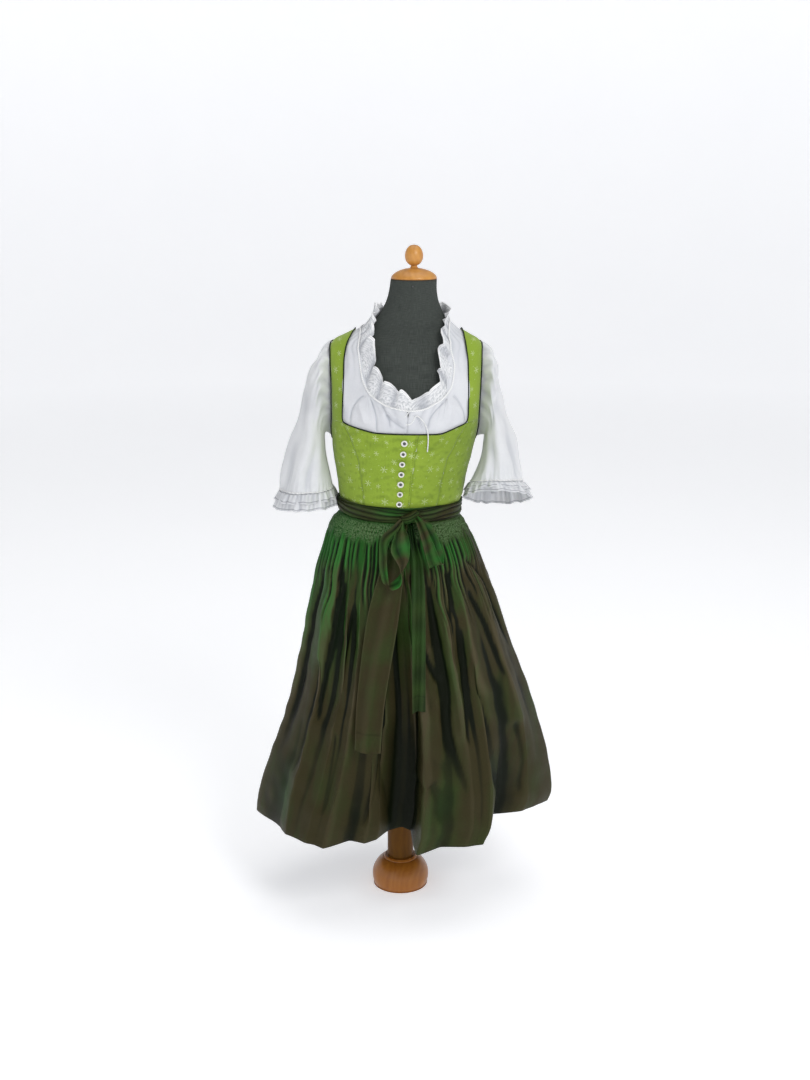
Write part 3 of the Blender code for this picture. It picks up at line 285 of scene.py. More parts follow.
def attribute(name):
    return put("ShaderNodeAttribute", attribute_name=name).outputs["Fac"]


def startMaterial(name, roughness, **sockets):
    # a new material on the bench; it gives the UV and Object coordinates to work with
    material = bpy.data.materials.new(name)
    material.use_nodes = True
    tree = material.node_tree
    bench.update(material=material, tree=tree, shader=tree.nodes["Principled BSDF"])
    for socket, value in {"Roughness": roughness, **sockets}.items():
        bench["shader"].inputs[socket.replace("_", " ")].default_value = value
    return put("ShaderNodeUVMap", uv_map="cloth").outputs[0], put("ShaderNodeTexCoord").outputs["Object"]


def finishMaterial(base, height=None, distance=0.0003, strength=0.4):
    bench["tree"].links.new(base, bench["shader"].inputs["Base Color"])
    if height is not None:
        bump = put("ShaderNodeBump", {"Height": height, "Distance": distance, "Strength": strength})
        bench["tree"].links.new(bump.outputs[0], bench["shader"].inputs["Normal"])
    return bench["material"]


def bands(where, scale, direction, distortion, **more):
    inputs = {"Vector": where, "Scale": scale, "Distortion": distortion, **more}
    return put("ShaderNodeTexWave", inputs, wave_type="BANDS", bands_direction=direction).outputs["Fac"]


def weave(uv, threads):
    # plain weave: warp and weft, one thread over the other
    warp, weft = (bands(uv, threads, way, 0.6, **{"Detail": 1.0, "Detail Scale": 0.4}) for way in "XY")
    return plus(times(warp, 0.5), times(weft, 0.5))


def cottonHeight(uv, threads, cloud, share=2.0):
    return plus(weave(uv, threads), times(cloud, share))


def paintedHollowShade(base, strength, colour):
    # painted shade: where the attribute says, the valleys of the cloth take the shade colour
    return mixColour(times(attribute("paintedShade"), strength), base, colour)


def makeLinen():
    uv, place = startMaterial("formLinen", 0.93, Specular_IOR_Level=0.3)
    threads = weave(uv, 190)
    slub = noise(stretched(uv, (60, 900, 1)), 1.0, 2)
    cross = noise(stretched(uv, (900, 60, 1)), 1.0, 2)
    both = plus(slub, cross)
    base = mixColour(spread(both, 0.75, 1.25), (0.035, 0.041, 0.037), (0.062, 0.070, 0.063))
    cloud = noise(place, 9, 3)
    base = mixColour(spread(cloud, 0.35, 0.7, 0.0, 0.35), base, (0.045, 0.052, 0.046))
    return finishMaterial(base, plus(threads, both), 0.0004, 0.5)


def makeWood(name, light, dark, roughness, gloss=0.35):
    # turned wood: growth rings across the axis, drawn out along it, and fine pores
    place = startMaterial(name, roughness, Coat_Weight=gloss * 0.4, Coat_Roughness=0.2,
                          Specular_IOR_Level=gloss)[1]
    bent = mixColour(0.06, place, put("ShaderNodeTexNoise", {"Vector": place, "Scale": 9.0}).outputs["Color"])
    grain = noise(stretched(bent, (60, 60, 9)), 1.0, 5, 0.65)
    rings = bands(stretched(bent, (1, 0.4, 0.35)), 26.0, "X", 5.0, **{"Detail": 4.0, "Detail Scale": 1.5})
    share = calc("MULTIPLY_ADD", grain, 0.88, times(rings, 0.12))
    base = mixColour(spread(share, 0.3, 0.75), light, dark)
    pores = noise(stretched(place, (900, 900, 60)), 1.0, 2)
    base = mixColour(spread(pores, 0.58, 0.75, 0.0, 0.25), base, tuple(c * 0.55 for c in dark))
    return finishMaterial(base, plus(share, pores), 0.0002, 0.2)


def makeCotton(name, light, shade, threads, alpha=1.0, edgeLines=(), lace=0.0, glow=0.0):
    uv, place = startMaterial(
        name, 0.9, Sheen_Weight=0.15, Sheen_Roughness=0.5, Alpha=alpha,
        Subsurface_Weight=glow, Subsurface_Scale=0.003, Subsurface_Radius=(1.0, 1.0, 1.0))
    cloud = noise(place, 14, 4)
    fine = noise(uv, 260, 2)
    base = mixColour(spread(cloud, 0.35, 0.7), light, shade)
    base = mixColour(spread(fine, 0.4, 0.7, 0.0, 0.3), base, shade)
    if lace:
        holes = noise(uv, 230, 2)
        base = mixColour(spread(holes, 0.42, 0.62, 0.0, lace), base, (0.42, 0.44, 0.47))
    across = put("ShaderNodeSeparateXYZ", {0: uv}).outputs[1]
    for where, wide, colour in edgeLines:
        far = calc("ABSOLUTE", calc("SUBTRACT", across, where))
        base = mixColour(spread(far, wide * 0.5, wide, 1.0, 0.0), base, colour)
    # painted shade: the cloth's valleys take a grey-blue shade colour
    return finishMaterial(paintedHollowShade(base, 0.75, (0.36, 0.38, 0.43)), cottonHeight(uv, threads, cloud))


def makeFlowerPrint():
    uv, place = startMaterial("limeCotton", 0.85, Sheen_Weight=0.2, Sheen_Roughness=0.4)
    cloud = noise(place, 11, 4)
    fine = noise(uv, 420, 2)
    base = mixColour(spread(cloud, 0.35, 0.7), (0.265, 0.385, 0.026), (0.205, 0.315, 0.016))
    base = mixColour(spread(fine, 0.35, 0.7, 0.0, 0.35), base, (0.33, 0.47, 0.05))
    stars, dots = (0.032, 0.0072, 6, 0.62, 0.4), (0.024, 0.0011, 0, 0.30, 7.0)
    for spacing, reach, petals, strength, turn in (stars, dots):
        moved = put("ShaderNodeMapping", {"Vector": uv, "Location": (turn, turn * 1.7, 0)}).outputs[0]
        cells = put("ShaderNodeTexVoronoi", {"Vector": moved, "Scale": 1 / spacing, "Randomness": 0.55},
                    voronoi_dimensions="2D")
        middle = cells.outputs["Position"]
        apart = put("ShaderNodeVectorMath", {0: moved, 1: middle}, operation="SUBTRACT").outputs[0]
        parts = put("ShaderNodeSeparateXYZ", {0: apart})
        far = put("ShaderNodeVectorMath", {0: apart}, operation="LENGTH").outputs["Value"]
        dice = put("ShaderNodeSeparateColor", {0: cells.outputs["Color"]})
        size = calc("MULTIPLY_ADD", dice.outputs[0], reach * 0.5, reach * 0.7)
        if petals:
            way = calc("ARCTAN2", parts.outputs[1], parts.outputs[0])
            spin = calc("MULTIPLY_ADD", dice.outputs[1], 6.28, times(way, petals))
            lobe = calc("POWER", calc("MULTIPLY_ADD", calc("COSINE", spin), 0.5, 0.5), 4.0)
            size = times(size, calc("MULTIPLY_ADD", lobe, 0.88, 0.12))
        inside = calc("SUBTRACT", size, far)
        shown = spread(inside, -0.0003, 0.0005, 0.0, strength)
        base = mixColour(shown, base, (0.68, 0.75, 0.48))
    # painted shade: the lime's sunk places and sides take a dark olive shade colour
    return finishMaterial(paintedHollowShade(base, 0.75, (0.110, 0.180, 0.008)), cottonHeight(uv, 300, cloud, 2.5))


def makeTaffeta(name="shotTaffeta", smocked=False):
    # brown warp and green weft: the attribute says which of them a fold turns to the light
    uv, place = startMaterial(name, 0.46, Specular_IOR_Level=0.09)
    cloud = noise(place, 10, 4)
    streak = noise(stretched(uv, (55, 4, 1)), 1.0, 4)
    fine = noise(stretched(uv, (1400, 240, 1)), 1.0, 2)
    share = plus(attribute("shot"), calc("MULTIPLY_ADD", cloud, 0.5, -0.25))
    share = plus(share, calc("MULTIPLY_ADD", streak, 0.45, -0.22), clamp=True)
    base = mixColour(share, (0.039, 0.0325, 0.0115), (0.014, 0.100, 0.012))
    base = mixColour(spread(fine, 0.3, 0.75, 0.0, 0.4), base, (0.010, 0.012, 0.005))
    # painted shade: the valleys darken towards near black
    base = paintedHollowShade(base, 0.92, (0.0012, 0.0035, 0.0010))
    # painted highlight: the ridges that the high attribute picks take a lighter sheen colour, brown or green
    # by the shot share
    sheen = mixColour(share, (0.125, 0.105, 0.062), (0.055, 0.26, 0.05))
    base = mixColour(times(attribute("high"), 0.40), base, sheen)
    height = plus(fine, times(cloud, 3.0))
    if smocked:
        # the smocking's small puffs, with a painted highlight on their crowns
        zone = attribute("smock")
        inputs = {"Vector": stretched(uv, (1, 0.8, 1)), "Scale": 290.0, "Randomness": 0.7}
        cells = put("ShaderNodeTexVoronoi", inputs, voronoi_dimensions="2D", feature="SMOOTH_F1")
        cells = cells.outputs["Distance"]
        height = plus(height, times(times(cells, zone), -7.0))
        crown = times(zone, spread(cells, 0.60, 0.15, 0.0, 0.80))
        base = mixColour(crown, base, (0.130, 0.215, 0.095))
    return finishMaterial(base, height, 0.0006, 0.6)


def makeSkirtCotton():
    uv, place = startMaterial("darkSkirt", 0.9, Sheen_Weight=0.1)
    cloud = noise(place, 12, 4)
    base = mixColour(spread(cloud, 0.3, 0.7), (0.009, 0.013, 0.011), (0.019, 0.024, 0.020))
    return finishMaterial(base, cottonHeight(uv, 260, cloud))


def makePiping():
    place = startMaterial("darkPiping", 0.6, Specular_IOR_Level=0.15)[1]
    fine = noise(stretched(place, (500, 500, 500)), 1.0, 2)
    return finishMaterial(mixColour(fine, (0.006, 0.010, 0.006), (0.018, 0.026, 0.014)), fine, 0.0002)


def makeCord():
    place = startMaterial("whiteCord", 0.8, Sheen_Weight=0.2)[1]
    twist = bands(place, 120.0, "DIAGONAL", 1.0)
    return finishMaterial(mixColour(twist, (0.88, 0.88, 0.87), (0.70, 0.71, 0.72)), twist, strength=0.6)


def makeButtonPart(name, roughness, scale, light, dark, **sockets):
    place = startMaterial(name, roughness, **sockets)[1]
    mottle = noise(place, scale, 3)
    return finishMaterial(mixColour(mottle, light, dark), mottle, 0.0001, 0.3)


linen = makeLinen()
honeyWood = makeWood("honeyWood", (0.62, 0.300, 0.072), (0.46, 0.190, 0.036), 0.35)
darkWood = makeWood("darkWood", (0.40, 0.148, 0.019), (0.29, 0.093, 0.009), 0.32)
# the post's wood is a much darker copy of the honey wood: painted shade from the skirt over it
postShadowWood = makeWood("postShadowWood", (0.125, 0.050, 0.003), (0.083, 0.031, 0.002), 0.45, 0.10)
# the sleeves and the blouse body are one cloth in two tones: the darker whiteCotton on the body is painted
# shade
sleeveCotton = makeCotton("sleeveCotton", (0.80, 0.815, 0.830), (0.70, 0.715, 0.74), 330, glow=0.5)
cotton = makeCotton("whiteCotton", (0.71, 0.720, 0.745), (0.61, 0.625, 0.66), 330)
voile = makeCotton("frillVoile", (0.86, 0.870, 0.885), (0.74, 0.755, 0.78), 260, alpha=0.88,
                   edgeLines=((0.0040, 0.0011, (0.34, 0.35, 0.38)),), glow=0.2)
neckVoile = makeCotton("neckVoile", (0.97, 0.975, 0.98), (0.78, 0.79, 0.81), 260, alpha=0.93,
                       edgeLines=((0.0007, 0.0022, (1.0, 1.0, 1.0)), (0.0048, 0.0015, (1.0, 1.0, 1.0))),
                       lace=0.7, glow=0.15)
flowerPrint = makeFlowerPrint()
taffeta = makeTaffeta()
smockedTaffeta = makeTaffeta("smockedTaffeta", smocked=True)
skirtCotton = makeSkirtCotton()
pipingCloth = makePiping()
cordCotton = makeCord()
buttonRing = makeButtonPart("buttonRing", 0.3, 400, (0.86, 0.85, 0.80), (0.66, 0.66, 0.62), Coat_Weight=0.4)
buttonEye = makeButtonPart("buttonEye", 0.35, 600, (0.05, 0.05, 0.055), (0.16, 0.16, 0.17), Metallic=0.8)
print("materials ready")


# meshes
def finishMesh(name, points, faces, material, uvs=None, attributes=None):
    mesh = bpy.data.meshes.new(name)
    mesh.from_pydata([tuple(p) for p in np.asarray(points, float).tolist()], [], faces)
    mesh.materials.append(material)
    mesh.polygons.foreach_set("use_smooth", [True] * len(mesh.polygons))
    if uvs is not None:
        corner = np.empty(len(mesh.loops), np.int32)
        mesh.loops.foreach_get("vertex_index", corner)
        layer = mesh.uv_layers.new(name="cloth")
        layer.data.foreach_set("uv", np.asarray(uvs, float)[corner].ravel())
    for key, values in (attributes or {}).items():
        layer = mesh.attributes.new(key, "FLOAT", "POINT")
        layer.data.foreach_set("value", np.asarray(values, float).ravel())
    mesh.validate()
    mesh.update()
    return addToScene(name, mesh)


def rideOn(thing, slotName, *nodes):
    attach(thing, "root")
    if nodes:
        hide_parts(*nodes)
    return thing


def gridUv(grid, upward=True):
    # real lengths along the cloth, measured from its middle column and its first row
    across = np.linalg.norm(np.diff(grid, axis=1), axis=-1)
    u = np.concatenate([np.zeros((len(grid), 1)), np.cumsum(across, axis=1)], axis=1)
    u = u - u[:, grid.shape[1] // 2][:, None]
    up = np.linalg.norm(np.diff(grid, axis=0), axis=-1)
    v = np.concatenate([np.zeros((1, grid.shape[1])), np.cumsum(up, axis=0)], axis=0)
    if not upward:
        v = v[-1:] - v
    return np.stack([u, v], axis=-1)


def addCloth(name, grid, thickness, material, closed=False, away=None, uv=None, attributes=None):
    # a thin shell: the grid is its outer side, the inner side follows it
    rows, columns = grid.shape[:2]
    normal = normalsOf(grid, closed)
    centre = grid.reshape(-1, 3).mean(axis=0) if away is None else np.asarray(away, float)
    if away is None and closed:
        centre = grid.mean(axis=1, keepdims=True)
    if np.sum(normal * (grid - centre)) < 0:
        normal = -normal
    inner = grid - normal * thickness
    count = rows * columns
    if uv is None:
        uv = gridUv(grid)
    index = np.arange(count).reshape(rows, columns)
    if closed:
        index = np.concatenate([index, index[:, :1]], axis=1)
    a, b, c, d = index[:-1, :-1], index[:-1, 1:], index[1:, 1:], index[1:, :-1]
    outerFaces = np.stack([a, b, c, d], axis=-1).reshape(-1, 4)
    innerFaces = outerFaces[:, ::-1] + count
    edges = [(index[0], True), (index[-1], False)]
    if not closed:
        edges += [(index[:, 0], False), (index[:, -1], True)]
    rims = []
    for line, backwards in edges:
        rim = np.stack([line[:-1], line[1:], line[1:] + count, line[:-1] + count], axis=-1)
        rims.append(rim[:, ::-1] if backwards else rim)
    faces = np.concatenate([outerFaces, innerFaces, *rims])
    points = np.concatenate([grid.reshape(-1, 3), inner.reshape(-1, 3)])
    probe = points[faces[0]]
    facing = np.cross(probe[1] - probe[0], probe[2] - probe[1])
    if np.dot(facing, normal.reshape(-1, 3)[faces[0][0]]) < 0:
        faces = faces[:, ::-1]
    flat = uv.reshape(-1, 2)
    both = {key: np.concatenate([np.ravel(v), np.ravel(v)]) for key, v in (attributes or {}).items()}
    return finishMesh(name, points, faces.tolist(), material, np.concatenate([flat, flat]), both)


def addTube(name, path, radius, material, outs, closed=False, sides=10, flatten=1.0):
    # a cord along a path; outs point away from what it lies on, and flatten squeezes it towards that
    path = np.asarray(path, float)
    along = np.roll(path, -1, axis=0) - np.roll(path, 1, axis=0)
    if not closed:
        along[0], along[-1] = path[1] - path[0], path[-1] - path[-2]
    along = ofLengthOne(along)
    side = ofLengthOne(np.cross(along, outs))
    face = np.cross(side, along)
    turns = wayRound(sides)
    radius = np.broadcast_to(radius, (len(path),))[:, None, None]
    rings = (path[:, None] + (np.cos(turns)[None, :, None] * side[:, None]
             + np.sin(turns)[None, :, None] * face[:, None] * flatten) * radius)
    count = len(path)
    faces = []
    for i in range(count if closed else count - 1):
        j = (i + 1) % count
        for k in range(sides):
            n = (k + 1) % sides
            faces.append([i * sides + k, i * sides + n, j * sides + n, j * sides + k])
    if not closed:
        faces.append(list(range(sides))[::-1])
        faces.append([(count - 1) * sides + k for k in range(sides)])
    steps = np.linalg.norm(np.diff(path, axis=0, append=path[:1]), axis=1)
    v = np.concatenate([[0], np.cumsum(steps)[:-1]])
    uvs = np.stack([np.tile(turns / 400, (count, 1)), np.tile(v[:, None], (1, sides))], axis=-1)
    points = rings.reshape(-1, 3)
    a, b, c = points[faces[0][:3]]
    if np.dot(np.cross(b - a, c - b), a - path[0]) < 0:
        faces = [face[::-1] for face in faces]
    return finishMesh(name, points, faces, material, uvs.reshape(-1, 2))


def addTurned(name, profile, place, material):
    # a piece turned on a lathe, from (radius, height) points
    sides = turned["sides"]
    rows = smoothLine(profile, turned["steps"])
    rows[:, 0] = np.maximum(rows[:, 0], 0.0002)
    turns = wayRound(sides)
    points = [(place[0] + r * math.cos(t), place[1] + r * math.sin(t), z) for r, z in rows for t in turns]
    faces = [[i * sides + k, i * sides + (k + 1) % sides,
              (i + 1) * sides + (k + 1) % sides, (i + 1) * sides + k]
             for i in range(len(rows) - 1) for k in range(sides)]
    faces.append(list(range(sides))[::-1])
    faces.append([(len(rows) - 1) * sides + k for k in range(sides)])
    uvs = [(t * 0.05, z) for r, z in rows for t in turns]
    return finishMesh(name, points, faces, material, uvs)


# drawstring: threaded through the casing at the slit, one small loop and one hanging end
drawstring = {
    "path": [
        (3.0, 1.0630, 0.0070), (0.5, 1.0550, 0.0046), (-2.0, 1.0460, 0.0034), (0.5, 1.0390, 0.0034),
        (4.5, 1.0410, 0.0036), (6.5, 1.0490, 0.0040), (8.5, 1.0545, 0.0045), (12.0, 1.0490, 0.0042),
        (15.5, 1.0370, 0.0052), (17.2, 1.0240, 0.0082), (18.0, 1.0120, 0.0084), (18.5, 1.0000, 0.0074),
        (18.8, 0.9860, 0.0070),
    ],
    "radius": 0.0011,
}
stringRows = np.array(drawstring["path"])
stringPath = smoothLine(overGrid(stringRows, stringRows[:, 2]), 110)
stringOuts = smoothLine(outOfForm(stringRows[:, 1], stringRows[:, 0]), 110)
stringPiece = addTube("drawstringCord", stringPath, drawstring["radius"], cordCotton, stringOuts, sides=12)
rideOn(stringPiece, "white_cord", "drawstring")


def addStack(name, rings, material, attributes=None):
    # a closed solid through rings of equal length
    rings = np.asarray(rings, float)
    count, sides = rings.shape[:2]
    index = np.arange(count * sides).reshape(count, sides)
    beside = np.roll(index, -1, axis=1)
    walls = np.stack([index[:-1], beside[:-1], beside[1:], index[1:]], axis=-1)
    faces = walls.reshape(-1, 4).tolist() + [index[0][::-1].tolist(), index[-1].tolist()]
    points = rings.reshape(-1, 3)
    volume = sum(np.dot(points[f[0]], np.cross(points[f[1]], points[f[2]])) for f in faces[:-2])
    if volume < 0:
        faces = [face[::-1] for face in faces]
    turns = np.linspace(0, 1, sides, endpoint=False)
    uvs = [(t * 0.6, ring[0][2]) for ring in rings for t in turns]
    return finishMesh(name, points, faces, material, uvs, attributes)


# the figure the clothes hang on: linen torso with a shoulder that lies well under the cloth
torso = {"inset": 0.0015, "shoulderInset": 0.0080, "shoulder": (1.09, 1.15, 1.205, 1.225), "sides": 110}
levels = np.unique(np.concatenate([np.linspace(0.620, 1.3105, 120), [0.6215, 0.6235]]))
turns = np.linspace(0, 360, torso["sides"], endpoint=False)
sinks = -torso["inset"] - torso["shoulderInset"] * np.interp(levels, torso["shoulder"], (0, 1, 1, 0))
torsoRings = overForm(levels[:, None], turns[None, :], np.tile(sinks[:, None], (1, torso["sides"])))
torsoRings[..., 2] = levels[:, None]
rideOn(addStack("linenTorso", torsoRings, linen), "form_linen", "form_torso")

turned = {
    "sides": 72, "steps": 64,
    "foot": [(0.0004, 0.0), (0.0545, 0.0), (0.0563, 0.0008), (0.0580, 0.003), (0.0604, 0.012),
             (0.0612, 0.022), (0.0596, 0.034), (0.0545, 0.045), (0.0492, 0.0523), (0.0440, 0.0572),
             (0.0376, 0.0612), (0.0366, 0.0609), (0.0358, 0.0630), (0.0330, 0.0655), (0.0310, 0.0660),
             (0.0004, 0.0660)],
    "post": [(0.0004, 0.0663), (0.0270, 0.0663), (0.0280, 0.0673), (0.0280, 0.30), (0.0280, 0.6187),
             (0.0270, 0.6197), (0.0004, 0.6197)],
    "cap": [(0.0004, 1.3108), (0.0430, 1.3108), (0.0450, 1.3115), (0.0458, 1.3130), (0.0440, 1.3172),
            (0.0380, 1.3225), (0.0290, 1.3272), (0.0180, 1.3305), (0.0090, 1.3322), (0.0065, 1.3350),
            (0.0065, 1.3370), (0.0004, 1.3370)],
    "finial": [(0.0004, 1.3373), (0.0060, 1.3373), (0.0110, 1.3395), (0.0158, 1.3450), (0.0182, 1.3530),
               (0.0178, 1.3610), (0.0145, 1.3695), (0.0085, 1.3755), (0.0004, 1.3775)],
    "capPlace": (0.0279, 0.012),
}
for part, place, wood, slotName, node in (
    ("foot", (0, 0), darkWood, "dark_wood", "stand_foot"),
    # the post takes the darker wood: painted shade under the skirt
    ("post", (0, 0), postShadowWood, "honey_wood", "stand_post"),
    ("cap", turned["capPlace"], honeyWood, "honey_wood", "neck_cap"),
    ("finial", turned["capPlace"], honeyWood, "honey_wood", "neck_finial"),
):
    rideOn(addTurned("turned" + part.title(), turned[part], place, wood), slotName, node)
print("form and stand")


# blouse: two fronts and a back, gathered into the cord at the neck
blouse = {
    "bottom": 0.930,
    "out": 0.0014,
    "ridge": 1.1790,
    "casing": [
        (-90, 1.2135), (-66, 1.208), (-49.5, 1.198), (-40, 1.187), (-37.8, 1.167), (-34.5, 1.120),
        (-28.2, 1.092), (-14.3, 1.072), (2, 1.063), (13.3, 1.065), (29, 1.084), (36.6, 1.106),
        (39.2, 1.145), (35, 1.181), (41, 1.198), (50, 1.208), (64.6, 1.222),
        (90, 1.2315), (135, 1.224), (180, 1.216), (225, 1.2135),
    ],
    "frillEdge": [
        (-90, 1.252), (-70, 1.236), (-52.7, 1.222), (-41, 1.208), (-32.5, 1.198), (-26.5, 1.187),
        (-24, 1.170), (-22, 1.138), (-14, 1.1115), (-3, 1.100), (4.5, 1.080), (17.7, 1.104),
        (25, 1.112), (24, 1.147), (25, 1.167), (26.5, 1.187), (37.4, 1.208), (47.3, 1.222),
        (62, 1.236), (90, 1.254), (135, 1.256), (180, 1.255), (225, 1.252),
    ],
    "armholeFront": [(-96, 0.990), (-88, 1.008), (-80, 1.045), (-78, 1.100), (-78, 1.150), (-90, 1.1790)],
    "armholeBack": [(-96, 0.990), (-108, 1.010), (-118, 1.060), (-118, 1.120), (-108, 1.165), (-90, 1.1790)],
}
slitFoot = (0.5, blouse["bottom"])


def flipped(line):
    return [(-angle, *rest) for angle, *rest in line]


metresPerDegree = 0.0021  # along the cloth round the bust


def creaseField(angles, heights, creases, power):
    # troughs and ridges, each with its width, its depth and its line of (angle, height): a low power is crisp
    total = np.zeros(angles.shape)
    place = np.stack([angles * metresPerDegree, heights], axis=-1)
    for width, depth, line in creases:
        line = smoothLine(line, 24) * (metresPerDegree, 1.0)
        nearest = np.full(angles.shape, 9.0)
        along = np.zeros(angles.shape)
        for i in range(len(line) - 1):
            span = line[i + 1] - line[i]
            t = unit(((place - line[i]) @ span) / (span @ span))
            far = np.linalg.norm(place - line[i] - t[..., None] * span, axis=-1)
            closer = far < nearest
            nearest = np.where(closer, far, nearest)
            along = np.where(closer, (i + t) / (len(line) - 1), along)
        fade = soft(along, 0.0, 0.2) * (1 - soft(along, 0.75, 1.0))
        total = total + depth * np.exp(-(nearest / width) ** power) * fade
    return total


blouseCreases = [
    (0.0019, -0.0022, [(-47.9, 1.030), (-44.9, 1.062), (-36.6, 1.085), (-29.4, 1.091)]),
    (0.0019, -0.0022, [(-28.2, 1.092), (-23.6, 1.062), (-22.3, 1.039), (-23.1, 1.020)]),
    (0.007, 0.0020, [(-40, 1.075), (-35, 1.062), (-32, 1.035)]),
    (0.0045, 0.0034, [(-17.4, 1.070), (-7.2, 1.052), (2.0, 1.040)]),
    (0.0024, -0.0022, [(-16.4, 1.060), (-7.0, 1.041), (1.0, 1.029)]),
    (0.0022, -0.0018, [(-19.2, 1.076), (-13.4, 1.055), (-10.7, 1.025)]),
    (0.007, 0.0016, [(-44, 1.150), (-52, 1.110), (-52, 1.060)]),
    (0.0019, -0.0022, [(17.3, 1.026), (19.4, 1.050), (25.5, 1.069), (35.3, 1.089)]),
    (0.0019, -0.0022, [(36.3, 1.0925), (42.9, 1.081), (51.2, 1.054), (53.7, 1.030)]),
    (0.008, 0.0020, [(40, 1.075), (36, 1.058), (34, 1.030)]),
    (0.0022, -0.0018, [(5.6, 1.059), (10.2, 1.047), (14.5, 1.025)]),
    (0.007, 0.0016, [(42, 1.140), (52, 1.110), (54, 1.070)]),
]


def addBlousePiece(name, bottom, top, first, last, columns, rows, gathers, seed, node, creases=()):
    grid = patch(bottom, top, first, last, columns, rows)
    u = np.linspace(0, 1, columns)[None, :]
    v = np.linspace(0, 1, rows)[:, None]
    plain = overGrid(grid)
    lines = 1 - np.abs(np.sin(math.pi * gathers * u + 1.4 * ripple(plain, 0.09, seed))) ** 0.6
    out = blouse["out"] + 0.0016 - 0.0020 * lines * soft(v, 0.55, 0.95) * (1 - 0.6 * soft(v, 0.965, 1.0))
    free = soft(grid[..., 1], 1.026, 1.044) * (1 - soft(np.abs(grid[..., 0]), 32, 42))
    out = out + 0.0006 * (ripple(plain, 0.055, seed + 1) + 0.6)
    out = out + 0.0014 * free * np.abs(ripple(plain, 0.042, seed + 2))
    out = out + 0.0007 * np.sin(grid[..., 1] * 1100) * hump(grid[..., 0], 1.9, 1.6) * free
    creased = creaseField(grid[..., 0], grid[..., 1], creases, 1.3)
    out = out + np.clip(1.9 * creased, -0.0022, np.where(free > 0.5, 0.006, 0.0022))
    # painted shade in the gathers' valleys and the creases' troughs
    paintedShade = unit(0.45 * lines * soft(v, 0.60, 0.97) + soft(-creased, 0.0006, 0.0022))
    shell = overGrid(grid, np.maximum(out, 0.0004))
    piece = rideOn(addCloth(name, shell, 0.0006, cotton, away=(0.01, 0, 1.1), attributes={"paintedShade": paintedShade}),
                   "white_cotton", node)


casing = blouse["casing"]
addBlousePiece("blouseFrontRight", [(-96, blouse["bottom"]), slitFoot],
               [(-90, blouse["ridge"])] + [p for p in casing if p[0] <= 2],
               [(-96, blouse["bottom"])] + blouse["armholeFront"], [slitFoot, (1.9, 1.0500), (1.3, 1.0630)],
               110, 100, 15, 3, "blouse_front_right", blouseCreases)
addBlousePiece("blouseFrontLeft", [slitFoot, (96, blouse["bottom"])],
               [p for p in casing if 2 <= p[0] <= 90] + [(90, blouse["ridge"])],
               [slitFoot, (1.9, 1.0500), (2.9, 1.0630)],
               [(96, blouse["bottom"])] + flipped(blouse["armholeFront"]),
               110, 100, 15, 5, "blouse_front_left", blouseCreases)
addBlousePiece("blouseBack", [(96, blouse["bottom"]), (264, blouse["bottom"])],
               [(90, blouse["ridge"])] + [p for p in casing if p[0] >= 90]
               + [(270, casing[0][1]), (270, blouse["ridge"])],
               [(96, blouse["bottom"])] + flipped(blouse["armholeBack"]),
               [(264, blouse["bottom"])] + [(360 + a, z) for a, z in blouse["armholeBack"]],
               140, 52, 26, 8, "blouse_back")

# the neck frill stands off the neck in uneven waves, sewn down under the cord
frill = {"columns": 520, "rows": 18, "cloth": 0.0004, "waves": 21, "standOff": 0.0105, "wave": 0.0066,
         "lobe": 0.17, "lean": 0.6, "cordRadius": 0.0017, "cordOut": 0.0046}
foot = evenly([*casing, (270, casing[0][1])], frill["columns"] + 1)[:-1]
edge = evenly([*blouse["frillEdge"], (270, blouse["frillEdge"][0][1])], frill["columns"] + 1)[:-1]
swing = np.arange(frill["columns"]) / frill["columns"] * 2 * math.pi
beat = swing * frill["waves"] + 1.5 * np.sin(swing * 4 + 0.7) + 1.0 * np.sin(swing * 7 + 2.1)
share = np.linspace(0, 1, frill["rows"])[:, None]
lobes = 1.7 * np.abs(np.sin(beat / 2 + 0.4)) ** 0.6 - 1.1
line = foot[None] + (edge - foot)[None] * (share * (1 + frill["lobe"] * lobes))[..., None]
stand = np.interp(share, (0, 0.1, 0.55, 1), (0.0025, 0.0026, 0.0056, frill["standOff"]))
beat = beat + frill["lean"] * np.cos(beat) + 0.6 * share
stand = stand + frill["wave"] * share**0.8 * (np.sin(beat) + 0.35 * np.sin(2.3 * beat + 1.0) * share)
frillGrid = overGrid(line, np.maximum(stand, 0.0024))
# painted shade on the turned-in side of each wave
frillShade = (0.5 - 0.5 * np.sin(beat)) ** 2 * (1 - 0.4 * share)
neckFrill = addCloth("neckRuffle", frillGrid, frill["cloth"], neckVoile, closed=True, away=(0.02, 0.0, 1.15),
                     attributes={"paintedShade": frillShade}, uv=gridUv(frillGrid, upward=False))
rideOn(neckFrill, "frill_voile", "neck_frill")
casingLine = easedLine([*casing, (270, casing[0][1])], 361)[:-1]
casingPath = overGrid(casingLine, frill["cordOut"])
casingOuts = outOfForm(casingLine[:, 1], casingLine[:, 0])
neckCord = addTube("neckCord", casingPath, frill["cordRadius"], cordCotton, casingOuts, closed=True,
                   flatten=0.75)
rideOn(neckCord, "white_cord", "neck_casing")
print("blouse")


